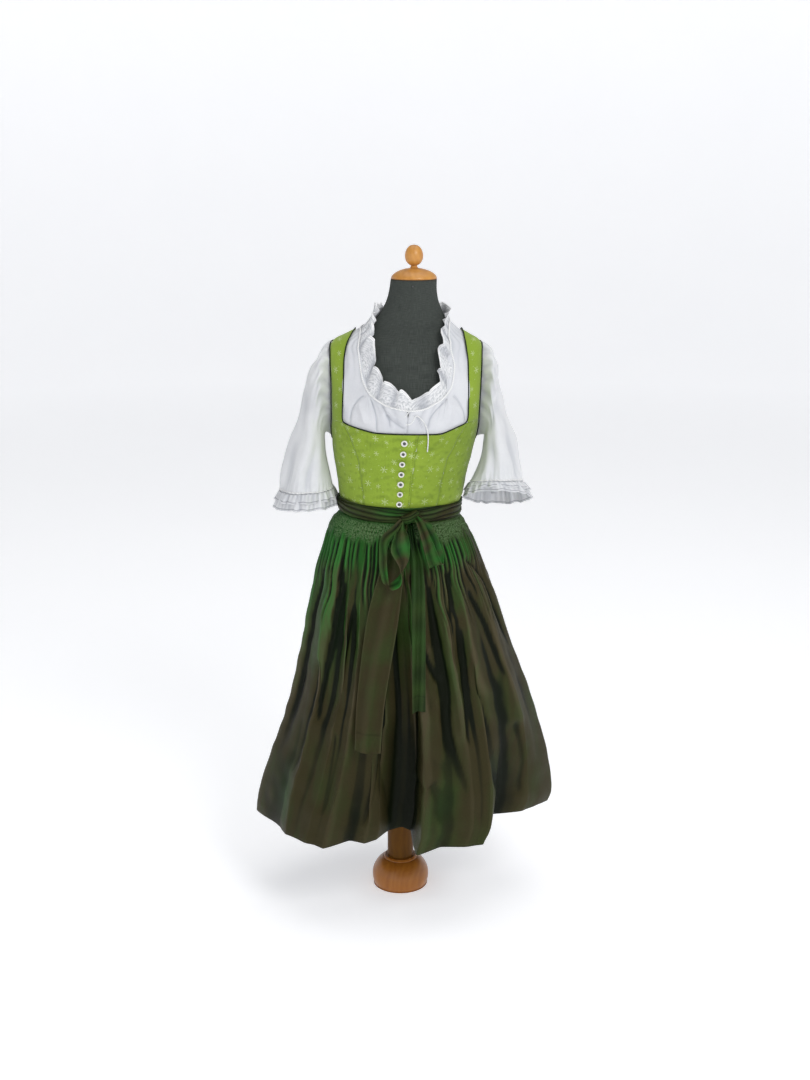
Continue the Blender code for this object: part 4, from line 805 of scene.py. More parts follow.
# sleeves: wide and soft, gathered into the armhole, with a frill of two tiers under the elbow seam
sleeves = {
    "columns": 170,
    "rows": 76,
    "frillColumns": 330,
    "frillRows": 16,
    "cloth": 0.0006,
    "frillCloth": 0.0004,
    "seamRadius": 0.0013,
    "seamLift": 0.0008,
    "armholeRings": ((0.97, 0.99, 0.0030), (0.90, 0.96, 0.0052)),
    "armholeMiddle": (-98.0, 1.088),
    "headLift": (0.006, 0.012),
    "ringColumns": ("outerX", "outerZ", "innerX", "innerZ", "midY", "halfY", "tilt"),
    "right": [
        (-0.1630, 1.163, -0.1525, 1.002, 0.004, 0.050, 0.00),
        (-0.1850, 1.118, -0.1530, 0.965, 0.004, 0.062, 0.00),
        (-0.2080, 1.040, -0.1490, 0.940, 0.002, 0.070, 0.00),
        (-0.2290, 0.964, -0.1430, 0.915, 0.000, 0.075, -0.05),
        (-0.2450, 0.884, -0.1390, 0.889, 0.000, 0.078, -0.05),
    ],
    "left": [
        (0.1880, 1.166, 0.1720, 0.997, 0.004, 0.052, 0.00),
        (0.1980, 1.115, 0.1700, 0.972, 0.004, 0.063, 0.00),
        (0.2130, 1.045, 0.1660, 0.950, 0.002, 0.070, -0.04),
        (0.2320, 0.980, 0.1580, 0.930, 0.000, 0.075, -0.12),
        (0.2525, 0.900, 0.1450, 0.900, 0.000, 0.078, -0.22),
    ],
    "frillRight": [
        (-0.2452, 0.8834, -0.1388, 0.8884, 0.000, 0.0785, -0.05),
        (-0.2530, 0.8660, -0.1330, 0.8700, 0.000, 0.0820, -0.05),
        (-0.2590, 0.8490, -0.1300, 0.8530, 0.000, 0.0850, -0.06),
    ],
    "frillLeft": [
        (0.2527, 0.8994, 0.1448, 0.8994, 0.000, 0.0785, -0.22),
        (0.2630, 0.8830, 0.1370, 0.8840, 0.000, 0.0820, -0.30),
        (0.2710, 0.8650, 0.1330, 0.8680, 0.000, 0.0850, -0.38),
    ],
}


def sleeveRing(row, columns):
    ring = dict(zip(sleeves["ringColumns"], row))
    turn = wayRound(columns)
    share = (1 - np.cos(turn)) / 2
    back = ring["halfY"] * np.sin(turn)
    x = ring["innerX"] + (ring["outerX"] - ring["innerX"]) * share
    z = ring["innerZ"] + (ring["outerZ"] - ring["innerZ"]) * share
    return np.column_stack([x, ring["midY"] + back, z + ring["tilt"] * back])


def armholeRing(side, narrow, shorten, out, columns):
    half = columns // 2 + 1
    front, back = evenly(blouse["armholeFront"], half), evenly(blouse["armholeBack"], half)
    loop = np.concatenate([back[:-1], front[:0:-1]])
    middle = np.array(sleeves["armholeMiddle"])
    loop = middle + (loop - middle) * (narrow, shorten)
    return overForm(loop[:, 1], -side * loop[:, 0], out)


def addSleeve(name, side, rows, node, seed):
    columns = sleeves["columns"]
    rings = [armholeRing(side, *ring, columns) for ring in sleeves["armholeRings"]]
    for ring, lift in zip(rings, sleeves["headLift"]):
        ring[:, 2] += lift * soft(ring[:, 2], 1.12, 1.175)
    rings += [sleeveRing(row, columns) for row in rows]
    grid = smoothLine(rings, sleeves["rows"])
    t = np.linspace(0, 1, sleeves["rows"])[:, None]
    turn = wayRound(columns)[None, :]
    normal = normalsOf(grid, closed=True)
    middle = grid.mean(axis=1, keepdims=True)
    normal *= np.sign(np.sum(normal * (grid - middle)))
    outside = soft(np.sin(turn / 2), 0.25, 0.6)
    drift = 1.6 * ripple(grid, 0.11, seed)
    head = 0.0022 * np.sin(17 * turn + drift) * soft(t, 0.10, 0.22) * (1 - soft(t, 0.3, 0.6))
    hang = 0.0042 * np.sin(6 * turn + 1.3 * drift) * soft(t, 0.38, 0.8) * (1 - 0.6 * soft(t, 0.93, 1.0))
    slack = 0.0040 * ripple(grid * (1.0, 1.0, 0.55), 0.060, seed + 3)
    slack = slack * soft(t, 0.15, 0.4) * (1 - soft(t, 0.9, 1.0))
    drag = 0.0024 * np.sin((grid[..., 2] * 105 + 5 * np.cos(turn + 0.6)) + drift) * hump(t, 0.40, 0.14)
    gathered = 0.0012 * np.sin(34 * turn + drift) * soft(t, 0.84, 0.99)
    folds = (head + hang + slack + drag) * outside + gathered
    grid = grid + normal * folds[..., None]
    # painted shade in the sleeve's fold valleys
    piece = rideOn(addCloth(name, grid, sleeves["cloth"], sleeveCotton, closed=True,
                            attributes={"paintedShade": 0.5 * soft(-folds, 0.0005, 0.0065)}), "white_cotton", node)
    return grid


def addSleeveFrill(name, rows, reach, lift, seed, nodes):
    columns, count = sleeves["frillColumns"], sleeves["frillRows"]
    rings = smoothLine([sleeveRing(row, columns) for row in rows], count)
    t = np.linspace(0, 1, count)[:, None]
    stop = rings[: max(6, round(count * reach))]
    t = t[: len(stop)] / t[len(stop) - 1]
    turn = wayRound(columns)[None, :]
    middle = stop.mean(axis=1, keepdims=True)
    out = stop - middle
    out[..., 2] = 0
    out = ofLengthOne(out)
    beat = turn * 12 + 1.2 * np.sin(turn * 4 + seed) + 0.8 * np.sin(turn * 7 + 2 * seed)
    tucks = turn * 38 + 1.5 * np.sin(turn * 5 + seed) + 1.2 * t
    wave = 0.0036 * np.sin(beat) * (0.15 + 0.85 * t) + 0.0013 * np.sin(tucks) * (1 - 0.55 * t)
    grid = stop + out * (wave + lift + 0.001 * t)[..., None]
    grid[..., 2] += 0.0012 * t * np.sin(beat + 1.0)
    # painted shade in the valleys of the waves and the tucks
    paintedShade = 0.30 * (0.5 - 0.5 * np.sin(beat)) ** 2
    paintedShade = paintedShade + 0.55 * (0.5 - 0.5 * np.sin(tucks)) ** 2 * (1 - 0.6 * t)
    piece = addCloth(name, grid, sleeves["frillCloth"], voile, closed=True, uv=gridUv(grid, upward=False),
                     attributes={"paintedShade": paintedShade})
    rideOn(piece, "frill_voile", *nodes)


for side, word in ((-1, "right"), (1, "left")):
    sleeve, rows = "sleeve_" + word, sleeves["frill" + word.title()]
    ends = addSleeve("sleeve" + word.title(), side, sleeves[word], sleeve, 11 + side)
    addSleeveFrill("lowerFrill" + word.title(), rows, 1.0, 0.0, 1.0 + side, ["sleeve_frill_" + word])
    addSleeveFrill("upperFrill" + word.title(), rows, 0.56, 0.0026, 3.0 + side, [])
    seam = np.concatenate([ends[-2], ends[-2][:1]])[:-1]
    ways = seam - seam.mean(axis=0)
    seam = seam + ofLengthOne(ways) * sleeves["seamLift"]
    # the elbow seam takes the brighter cord cotton: painted light on a seam of the sleeve's cloth
    ridge = addTube("elbowSeam" + word.title(), seam, sleeves["seamRadius"], cordCotton, ways, closed=True,
                    sides=8)
    rideOn(ridge, "white_cotton")
print("sleeves")


# bodice: two fronts lapped at the placket, two sides, a back, and straps over the shoulders
bodice = {
    "bottom": 0.8475, "out": 0.0050, "cloth": 0.0009, "seamDip": 0.0012, "seamWidth": 0.0030,
    "placket": [(8.5, 0.8475), (9.0, 0.930), (10.5, 1.0190)],
    "princess": [(37, 0.8475), (37, 0.900), (39, 0.965), (47, 1.008), (55.5, 1.0345)],
    "necklineRight": [(-55.5, 1.0345), (-44.4, 1.0293), (-30.8, 1.0236), (-23.9, 1.0203), (-11.2, 1.0199),
                      (10.5, 1.0190)],
    "necklineLeft": [(10.5, 1.0190), (29.6, 1.0176), (35.7, 1.0229), (43.4, 1.0285), (55.5, 1.0345)],
    "sideTop": (-81.0, 1.0345),
    "strapInner": (0.1215, 0.1210, 0.1045, 0.1060, 0.1000),
    "strapOuter": (0.1430, 0.1470, 0.1470, 0.1370, 0.1310),
    "strapReach": 0.1500, "strapFrontBase": 1.0345, "strapBackBase": 1.1006, "ridgeLift": 0.0010,
    "backTop": 1.1000, "backMiddle": 1.0800, "puckerEvery": 0.0213,
    "strapRows": 100, "strapColumns": 20,
    "buttonFoot": (-1.2, 0.875), "buttonRun": 0.128, "buttonLean": 1.4,
}


def sewnEdges(plain, dip, width):
    # cloth sinks a little into the seam at each side
    near = np.min([np.linalg.norm(plain - edge, axis=-1) for edge in (plain[:, :1], plain[:, -1:])], axis=0)
    return -dip * np.exp(-(near / width) ** 2)


def addBodicePiece(name, grid, node, seed, lift=0.0, creases=(), pucker=None):
    angles, heights = grid[..., 0], grid[..., 1]
    plain = overGrid(grid)
    out = bodice["out"] + lift + sewnEdges(plain, bodice["seamDip"], bodice["seamWidth"])
    out = out + 0.00045 * ripple(plain * (1.0, 1.0, 1.6), 0.045, seed)
    low = 1 - soft(heights, 0.862, 0.90)
    out = out + 0.0005 * np.sin(heights * 330 + 2 * ripple(plain, 0.05, seed + 1)) * low
    if pucker is not None:
        far = (angles - pucker(heights)) * metresPerDegree
        pull = np.exp(-(np.abs(far) / 0.018) ** 1.5)
        out = out + 0.0013 * np.cos(heights * 2 * math.pi / bodice["puckerEvery"] + 1.0 + 40 * far) * pull
    out = out + 1.5 * creaseField(angles, heights, creases, 1.5)
    shell = overGrid(grid, np.maximum(out, 0.0036))
    coarse, small = ripple(plain * (1, 1, 2.2), 0.024, seed + 2), ripple(plain * (2, 1, 0.8), 0.012, seed + 3)
    mottle = soft(coarse + 0.8 * small, 0.0, 1.2)
    # painted shade: darker towards the sides, and more on the wearer's left front which the key lamp lights
    # more, less on the straps
    shaded = 0.20 * soft(np.abs(angles), 16, 40) + 0.30 * soft(angles, 4, 22)
    shaded = (0.40 * mottle + shaded * (np.abs(angles) < 100)) * (1 - 0.9 * soft(heights, 1.00, 1.06))
    # painted shade where the cloth sinks at seams, creases and puckers, with the random mottling, all drawn
    # in the shade colour
    paintedShade = unit(0.35 * soft(bodice["out"] + lift - out, 0.0, 0.0014) + shaded)
    piece = rideOn(addCloth(name, shell, bodice["cloth"], flowerPrint, away=(0.008, 0, 1.0),
                            attributes={"paintedShade": paintedShade}), "lime_cotton", node)


def buttonAngle(z):
    # the row of buttons leans a little from its foot to its top
    angle, foot = bodice["buttonFoot"]
    return angle + (z - foot) / bodice["buttonRun"] * bodice["buttonLean"]


princess = bodice["princess"]
placket = bodice["placket"]
princessRight = flipped(princess)
frontRight = patch([princessRight[0], placket[0]], bodice["necklineRight"], princessRight, placket, 90, 110)
frontLeft = patch([placket[0], princess[0]], bodice["necklineLeft"], placket, princess, 60, 110)
bustCreases = [
    (0.006, -0.0008, [(-34, 1.006), (-24, 0.998), (-12, 1.000)]),
    (0.005, -0.0009, [(-30, 0.880), (-20, 0.890), (-8, 0.886)]),
    (0.005, -0.0008, [(12, 0.890), (22, 0.884), (32, 0.892)]),
    (0.006, -0.0007, [(14, 1.000), (26, 0.990), (34, 1.000)]),
]
addBodicePiece("bodiceFrontRight", frontRight, "bodice_front_right", 21, 0.0002, bustCreases,
               buttonAngle)
addBodicePiece("bodiceFrontLeft", frontLeft, "bodice_front_left", 22, 0.0, bustCreases)
sideEdge = [(-96, bodice["bottom"]), (-96, 0.93), *blouse["armholeFront"][:2], bodice["sideTop"]]
sideLeft = flipped(sideEdge)
sideGrids = [patch([one[0], other[0]], [one[-1], other[-1]], one, other, 80, 90)
             for one, other in ((sideEdge, princessRight), (princess, sideLeft))]
addBodicePiece("bodiceSideRight", sideGrids[0], "bodice_side_right", 23)
addBodicePiece("bodiceSideLeft", sideGrids[1], "bodice_side_left", 24)


def strapGrid(side):
    # (angle, height, lift) over the shoulder from front to back, in columns from the inner edge out
    stages = np.linspace(0, 4, 5)
    t = np.linspace(0, 4, bodice["strapRows"])[:, None]
    inner, outer = (np.arcsin(np.interp(t, stages, bodice[e]) / bodice["strapReach"])
                    for e in ("strapInner", "strapOuter"))
    share = np.linspace(0, 1, bodice["strapColumns"])[None, :]
    x = bodice["strapReach"] * np.sin(inner * (1 - share) + outer * share)
    low, high = np.full(x.shape, 1.15), np.full(x.shape, 1.26)
    for _ in range(40):
        middle = (low + high) / 2
        wider = formShape("half", middle) > x
        low, high = np.where(wider, middle, low), np.where(wider, high, middle)
    climb = 1 - np.abs(t / 2 - 1) ** 2
    base = np.where(t <= 2, bodice["strapFrontBase"], bodice["strapBackBase"])
    z = base + (low - base) * climb
    turn = np.degrees(np.arcsin(np.minimum(1.0, x / formShape("half", z))))
    angle = side * np.where(t <= 2, turn, 180 - turn)
    return np.stack([angle, z, np.broadcast_to(bodice["ridgeLift"] * climb**6, z.shape)], axis=-1)


straps = {-1: strapGrid(-1), 1: strapGrid(1)}
for side, word in ((-1, "Right"), (1, "Left")):
    grid = straps[side]
    plain = overGrid(grid)
    out = bodice["out"] + grid[..., 2] + sewnEdges(plain, 0.0007, 0.0025)
    out = out + 0.0004 * ripple(plain, 0.05, 30 + side)
    shell = overGrid(grid, out)
    strap = rideOn(addCloth("strap" + word, shell, bodice["cloth"], flowerPrint, away=(0.012, 0, 1.1)),
                   "lime_cotton", "strap_" + word.lower())

backInner, backOuter = float(straps[1][-1, 0, 0]), float(straps[1][-1, -1, 0])
backEdge = [(96, bodice["bottom"]), (96, 0.93), *flipped(blouse["armholeBack"])[:3],
            (backOuter, bodice["strapBackBase"])]
backSide = [*backEdge[:-1], (backOuter, bodice["backTop"])]
backNeck = [(backInner, bodice["backTop"]), (180, bodice["backMiddle"]), (360 - backInner, bodice["backTop"])]
backTop = [(backOuter, bodice["backTop"]), *backNeck, (360 - backOuter, bodice["backTop"])]
backGrid = patch([backSide[0], (264, bodice["bottom"])], backTop, backSide,
                 [(360 - a, z) for a, z in backSide], 140, 62)
addBodicePiece("bodiceBack", backGrid, "bodice_back", 25)

# dark piping along the neckline and round each armhole
piping = {"radius": 0.0013, "out": 0.0062, "inset": 0.0016, "points": 520}


def addPiping(name, line, side, node):
    line = np.array(line, float)
    line[:, 0] = np.degrees(np.unwrap(np.radians(line[:, 0])))
    line = easedLine(line, piping["points"] + 1)[:-1]
    path = overGrid(line, piping["out"] + line[:, 2])
    outs = outOfForm(line[:, 1], line[:, 0])
    across = np.cross(np.roll(path, -1, axis=0) - np.roll(path, 1, axis=0), outs)
    path = path + ofLengthOne(across) * side * piping["inset"]
    for _ in range(6):
        path = easedRound(path, 0)
    edging = addTube(name, path, piping["radius"], pipingCloth, outs, closed=True, flatten=0.9)
    rideOn(edging, "dark_piping", node)


def level(line):
    return [(angle, z, 0.0) for angle, z in line]


neckline = np.concatenate([straps[-1][::-1, 0], level(frontRight[-1, 1:]), level(frontLeft[-1, 1:]),
                           straps[1][1:, 0], level(backNeck)])
neckline[:, 0] = np.degrees(np.unwrap(np.radians(neckline[:, 0])))
addPiping("necklinePiping", np.concatenate([neckline, [neckline[0] + (360, 0, 0)]]), -1, "neckline_piping")
for side, word, lower, upper, way in (
    (-1, "right", sideEdge, [(-a, z) for a, z in backEdge[2:]], 1),
    (1, "left", sideLeft, backEdge[2:], -1),
):
    loop = np.concatenate([level(lower[3:]), straps[side][:, -1], level(upper[::-1])])
    addPiping("armholePiping" + word.title(), np.concatenate([loop, loop[:1]]), way, "armhole_piping_" + word)
print("bodice")


# what repeats is set out by geometry nodes: a small shape on each point, turned the way that the point says
def setOut(name, shape, places, facing, along, size, material):
    points = bpy.data.meshes.new(name + "Points")
    points.from_pydata([tuple(map(float, p)) for p in places], [], [])
    for key, ways in (("facing", facing), ("along", along)):
        points.attributes.new(key, "FLOAT_VECTOR", "POINT").data.foreach_set("vector", np.ravel(ways))
    holder = addToScene(name + "Points", points)
    tree = bench["tree"] = bpy.data.node_groups.new(name + "Layout", "GeometryNodeTree")
    tree.interface.new_socket("Geometry", in_out="INPUT", socket_type="NodeSocketGeometry")
    settings = {}
    for key, kind, value in (("Shape", "Object", shape), ("Size", "Float", size),
                             ("Material", "Material", material), ("Seed", "Int", 7)):
        socket = tree.interface.new_socket(key, in_out="INPUT", socket_type="NodeSocket" + kind)
        settings[socket.identifier] = value
    tree.interface.new_socket("Geometry", in_out="OUTPUT", socket_type="NodeSocketGeometry")
    start = put("NodeGroupInput").outputs
    ways = [put("GeometryNodeInputNamedAttribute", {"Name": key}, data_type="FLOAT_VECTOR").outputs[0]
            for key in ("facing", "along")]
    turning = put("FunctionNodeAxesToRotation", dict(enumerate(ways)), primary_axis="Z", secondary_axis="X")
    source = put("GeometryNodeObjectInfo", {"Object": start["Shape"]}).outputs["Geometry"]
    vary = put("FunctionNodeRandomValue", {2: 0.94, 3: 1.04, "Seed": start["Seed"]}).outputs[1]
    laid = put("GeometryNodeInstanceOnPoints", {
        "Points": start["Geometry"], "Instance": source, "Rotation": turning.outputs[0],
        "Scale": times(vary, start["Size"])}).outputs[0]
    real = put("GeometryNodeRealizeInstances", {0: laid}).outputs[0]
    dressed = put("GeometryNodeSetMaterial", {0: real, "Material": start["Material"]}).outputs[0]
    put("NodeGroupOutput", {0: dressed})
    layout = holder.modifiers.new("layout", "NODES")
    layout.node_group = tree
    for identifier, value in settings.items():
        layout[identifier] = value
    graph = bpy.context.evaluated_depsgraph_get()
    graph.update()
    mesh = bpy.data.meshes.new_from_object(holder.evaluated_get(graph), depsgraph=graph)
    mesh.name = name
    mesh.polygons.foreach_set("use_smooth", [True] * len(mesh.polygons))
    holder.modifiers.clear()
    bpy.data.objects.remove(holder)
    return addToScene(name, mesh)


def makeShape(name, profile, sides, stretch=1.0):
    # a small turned shape about Z, from (radius, height) points, closed at both ends
    rings = [[(r * stretch * math.cos(t), r * math.sin(t), z) for t in wayRound(sides)] for r, z in profile]
    return addStack(name, rings, cotton)


# seven buttons down the front: a pale ring round a dark eye, sewn through the placket
buttons = {
    "count": 7, "top": 1.0030, "bottom": 0.8750, "out": 0.0056, "size": 0.0063, "sides": 40,
    "ring": [(0.70, 0.00), (0.92, 0.04), (1.00, 0.16), (0.99, 0.30), (0.90, 0.42), (0.76, 0.46), (0.66, 0.42),
             (0.56, 0.32), (0.50, 0.20)],
    "eye": [(0.42, 0.12), (0.52, 0.16), (0.51, 0.25), (0.43, 0.29), (0.28, 0.28), (0.20, 0.22), (0.05, 0.21)],
}
buttonHeights = np.linspace(buttons["top"], buttons["bottom"], buttons["count"])
buttonAngles = buttonAngle(buttonHeights)
buttonPlaces = overForm(buttonHeights, buttonAngles, buttons["out"])
buttonFacing = outOfForm(buttonHeights, buttonAngles)
buttonAlong = np.cross((0.12, 0, 1.0), buttonFacing)
for part, material in (("ring", buttonRing), ("eye", buttonEye)):
    shape = makeShape(part + "Shape", buttons[part], buttons["sides"])
    row = setOut("button" + part.title() + "s", shape, buttonPlaces, buttonFacing, buttonAlong,
                 buttons["size"], material)
    bpy.data.objects.remove(shape)
    rideOn(row, "ringed_button", *[f"button_{i + 1}" for i in range(buttons["count"])])

# running stitches down the placket's edge
stitches = {"length": 0.0022, "gap": 0.0016, "thread": 0.00028, "out": 0.00545, "fromEdge": 1.6,
            "shape": [(0.2, -0.12), (0.8, -0.10), (1.0, 0.0), (0.8, 0.12), (0.2, 0.16)]}
stitchShape = makeShape("stitchShape", stitches["shape"], 8, 5.0)


def sewAlong(name, line, material):
    # even stitches along a line of (angle, height)
    out = stitches["out"]
    fine = easedLine(np.array(line, float), 400)
    path = overGrid(fine, out)
    lengths = np.concatenate([[0], np.cumsum(np.linalg.norm(np.diff(path, axis=0), axis=1))])
    wanted = np.arange(stitches["gap"], lengths[-1], stitches["length"] + stitches["gap"])
    angles, heights = (np.interp(wanted, lengths, fine[:, i]) for i in (0, 1))
    places = overForm(heights, angles, out)
    return setOut(name, stitchShape, places, outOfForm(heights, angles), np.gradient(places, axis=0),
                  stitches["thread"], material)


placketSeam = [(a - stitches["fromEdge"], z) for a, z in placket]
rideOn(sewAlong("placketStitches", placketSeam, pipingCloth), "dark_piping")
print("buttons and stitches")


# the apron's hang: plain ovals, then folds that leave them
hang = makeTable(("z", "cx", "half", "front", "back"), [
    (0.150, -0.002, 0.3080, 0.2520, 0.2500), (0.183, -0.002, 0.3120, 0.2500, 0.2480),
    (0.220, 0.008, 0.3180, 0.2470, 0.2450), (0.258, 0.012, 0.3125, 0.2420, 0.2400),
    (0.3135, 0.017, 0.2985, 0.2310, 0.2300), (0.369, 0.019, 0.2810, 0.2180, 0.2190),
    (0.423, 0.0195, 0.2635, 0.2050, 0.2070), (0.4775, 0.0185, 0.2465, 0.1920, 0.1960),
    (0.531, 0.014, 0.2310, 0.1800, 0.1850), (0.584, 0.011, 0.2160, 0.1690, 0.1750),
    (0.6375, 0.007, 0.2030, 0.1580, 0.1650), (0.690, 0.004, 0.1860, 0.1450, 0.1540),
    (0.725, 0.000, 0.1740, 0.1350, 0.1450), (0.760, -0.001, 0.1610, 0.1250, 0.1330),
    (0.795, -0.003, 0.1480, 0.1150, 0.1200), (0.815, -0.004, 0.1385, 0.1080, 0.1110),
    (0.827, -0.002, 0.1300, 0.1015, 0.1010), (0.8342, -0.001, 0.1204, 0.0938, 0.0928),
    (0.8475, -0.001, 0.1202, 0.0936, 0.0926),
])
apron = {
    "foldHeights": (0.8475, 0.730, 0.600, 0.400, 0.190),
    "foldColumns": ("angleTop", "angleLow", "at730", "at600", "at400", "at190", "hem"),
    "folds": [
        (-104, -104, 1.00, 1.00, 1.00, 0.99, 0.188), (-83, -83, 1.00, 1.00, 1.00, 0.998, 0.183),
        (-68, -59, 0.99, 0.97, 0.96, 0.930, 0.186), (-54, -50, 1.00, 1.02, 1.02, 0.985, 0.188),
        (-41, -45, 0.97, 0.92, 0.955, 0.995, 0.190), (-36, -37, 1.00, 1.00, 1.00, 1.020, 0.190),
        (-31, -33, 0.98, 0.95, 0.985, 1.015, 0.190), (-26, -28.5, 1.00, 1.01, 1.02, 1.032, 0.188),
        (-20, -22.5, 0.99, 0.98, 0.94, 0.850, 0.191), (-13, -15.5, 1.00, 1.00, 0.98, 0.860, 0.190),
        (-9.5, -11.0, 0.99, 0.97, 0.89, 0.800, 0.193), (-5.5, -6.8, 0.98, 0.90, 0.74, 0.650, 0.199),
        (-0.5, -0.3, 0.98, 0.89, 0.72, 0.630, 0.2045), (4.4, 5.8, 0.99, 0.90, 0.74, 0.650, 0.199),
        (5.5, 6.4, 1.01, 1.03, 1.03, 1.000, 0.184), (18, 17.0, 0.97, 0.95, 0.95, 0.925, 0.189),
        (25, 26, 1.00, 1.01, 1.00, 0.985, 0.190), (34, 29.5, 0.97, 0.95, 0.965, 0.990, 0.190),
        (41, 33, 1.00, 1.01, 1.01, 1.005, 0.190), (49, 53, 0.98, 0.96, 0.90, 0.700, 0.208),
        (62, 66, 1.00, 1.00, 0.99, 0.870, 0.208), (74, 76, 0.98, 0.97, 0.97, 0.930, 0.206),
        (86, 86, 1.00, 1.00, 1.01, 1.010, 0.200), (104, 104, 1.00, 1.00, 1.00, 0.99, 0.190),
    ],
    "columns": 330, "rows": 112, "cloth": 0.0006, "top": 0.8360, "smockFoot": 0.800, "sharp": 0.45,
    "waistRadius": 0.125, "smockPleat": 0.0062, "smockRow": 0.0115, "gather": 0.0165,
}


def foldValue(column, place):
    # a column of the fold table at a place along it, eased so that no ridge or valley is a knife edge
    values = np.array([row[apron["foldColumns"].index(column)] for row in apron["folds"]], float)
    i = np.clip(np.floor(place).astype(int), 0, len(values) - 2)
    t = place - i
    if not column.startswith("angle"):
        t = apron["sharp"] * t + (1 - apron["sharp"]) * t * t * (3 - 2 * t)
    return values[i] * (1 - t) + values[i + 1] * t


def hangPoint(z, angle, swell):
    z, turn = np.broadcast_arrays(np.asarray(z, float), np.radians(angle))
    depth = np.where(np.cos(turn) > 0, hang("front", z), hang("back", z))
    x = hang("cx", z) + hang("half", z) * swell * np.sin(turn)
    return np.stack([x, -depth * swell * np.cos(turn), z], axis=-1)


def bandRise(angle):
    # the waist stands a little higher at the right side
    return 0.009 * np.exp(-((angle + 80) / 42) ** 2)


def apronPlace(place, z):
    # the angle and the swell of the apron at a place along the folds and a height
    share = unit((0.730 - z) / (0.730 - 0.190))
    angle = foldValue("angleTop", place) * (1 - share) + foldValue("angleLow", place) * share
    levels = [np.ones(np.shape(place))] + [foldValue(key, place) for key in apron["foldColumns"][2:6]]
    heights = apron["foldHeights"]
    z = np.clip(z, heights[-1], heights[0])
    swell = levels[0] + 0 * z
    for i in range(len(heights) - 1):
        t = unit((heights[i] - z) / (heights[i] - heights[i + 1]))
        swell = swell + (levels[i + 1] - levels[i]) * t
    return angle, swell


# narrower creases along the folds, as lines of (angle, height): valleys are below zero
apronCreases = [
    (0.009, -0.011, [(-42, 0.760), (-46, 0.600), (-48.7, 0.490), (-47, 0.420)]),
    (0.008, -0.010, [(-32, 0.680), (-34, 0.600), (-36, 0.510), (-37, 0.420)]),
    (0.010, -0.009, [(-35, 0.420), (-34, 0.330), (-33, 0.250)]),
    (0.014, -0.010, [(-54, 0.560), (-56, 0.430), (-57, 0.300)]),
    (0.008, -0.006, [(-20, 0.640), (-22, 0.520), (-22, 0.400)]),
    (0.012, -0.014, [(-14, 0.440), (-15, 0.385), (-17, 0.290), (-18, 0.220)]),
    (0.010, -0.010, [(-4, 0.700), (-6, 0.600), (-9, 0.510), (-11.5, 0.410), (-9, 0.300), (-6.5, 0.200)]),
    (0.007, 0.007, [(5, 0.700), (4, 0.600), (3, 0.480), (5, 0.330), (6.4, 0.200)]),
    (0.008, -0.012, [(18, 0.740), (19, 0.620), (20, 0.520), (18, 0.430), (21, 0.350), (25, 0.290)]),
    (0.006, -0.006, [(9.6, 0.600), (13, 0.560), (17, 0.520)]),
    (0.007, -0.008, [(36, 0.740), (34, 0.700), (30, 0.640)]),
    (0.008, -0.011, [(35, 0.630), (33, 0.540), (29, 0.440), (27.6, 0.390)]),
    (0.006, 0.005, [(25, 0.560), (25.5, 0.480), (25, 0.400)]),
    (0.009, -0.011, [(37, 0.560), (38.5, 0.450), (41, 0.340), (47, 0.280)]),
    (0.009, -0.010, [(54, 0.755), (66, 0.735), (76, 0.690), (79, 0.540)]),
    (0.009, -0.007, [(48, 0.700), (56, 0.620), (62, 0.500)]),
    (0.011, -0.010, [(-66, 0.740), (-72, 0.640), (-74, 0.500), (-74, 0.330)]),
    (0.010, -0.007, [(-97, 0.700), (-99, 0.520), (-100, 0.330)]),
    (0.010, -0.007, [(98, 0.700), (100, 0.520), (101, 0.330)]),
    (0.010, -0.006, [(8, 0.330), (12, 0.300), (15, 0.240)]),
    (0.012, -0.010, [(60, 0.420), (63, 0.330), (62, 0.240)]),
]
places = np.linspace(0, len(apron["folds"]) - 1, apron["columns"])[None, :]
hems = foldValue("hem", places)
t = np.linspace(0, 1, apron["rows"])[:, None] ** 1.12
apronZ = apron["top"] * (1 - t) + hems * t
apronAngle, apronSwell = apronPlace(places, apronZ)
whole = np.clip(np.floor(places), 0, len(apron["folds"]) - 2)
flatRun = [hangPoint(apronZ, *apronPlace(whole + step, apronZ)) for step in (0, 1)]
flatRun = flatRun[0] + (flatRun[1] - flatRun[0]) * (places - whole)[..., None]
roundRun = hangPoint(apronZ, apronAngle, apronSwell)
apronPlain = flatRun + (roundRun - flatRun) * soft(apronZ, 0.60, 0.76)[..., None]
for _ in range(6):
    apronPlain[1:-1, :, :2] = easedInside(apronPlain[..., :2])
apronPlain[:, 1:-1, :2] = easedInside(apronPlain[..., :2].swapaxes(0, 1)).swapaxes(0, 1)
arc = np.radians(foldValue("angleTop", places)) * apron["waistRadius"] + 0 * t


def alongArc(size, seed, climb=0.0):
    return ripple(np.stack([arc, climb * apronZ], axis=-1), size, seed)


drift = alongArc(0.10, 41)
smockFoot = apron["smockFoot"] + 0.009 * alongArc(0.026, 53)
smockBody = soft(apronZ - smockFoot, -0.008, 0.010) * (1 - soft(apronZ, 0.830, 0.8345))
pleats = arc * 2 * math.pi / apron["smockPleat"] + 1.5 * drift + 1.2 * np.sin(apronZ * 900)
pleats = 0.0011 * np.sin(pleats)
rows = 0.0007 * np.sin(apronZ * 2 * math.pi / apron["smockRow"] + 0.8 * drift)
puffs = 0.0016 * ripple(apronPlain, 0.017, 43, 9)
ending = 0.60 + 0.10 * alongArc(0.045, 47)
released = soft(apronZ - ending, 0.0, 0.17) * (1 - soft(apronZ - smockFoot, -0.014, 0.004))
wander = alongArc(0.036, 54, 0.35) * soft(0.80 - apronZ, 0.0, 0.10)
beat = arc * 2 * math.pi / apron["gather"] + 3.2 * drift + 2.1 * alongArc(0.042, 50) + 2.4 * wander
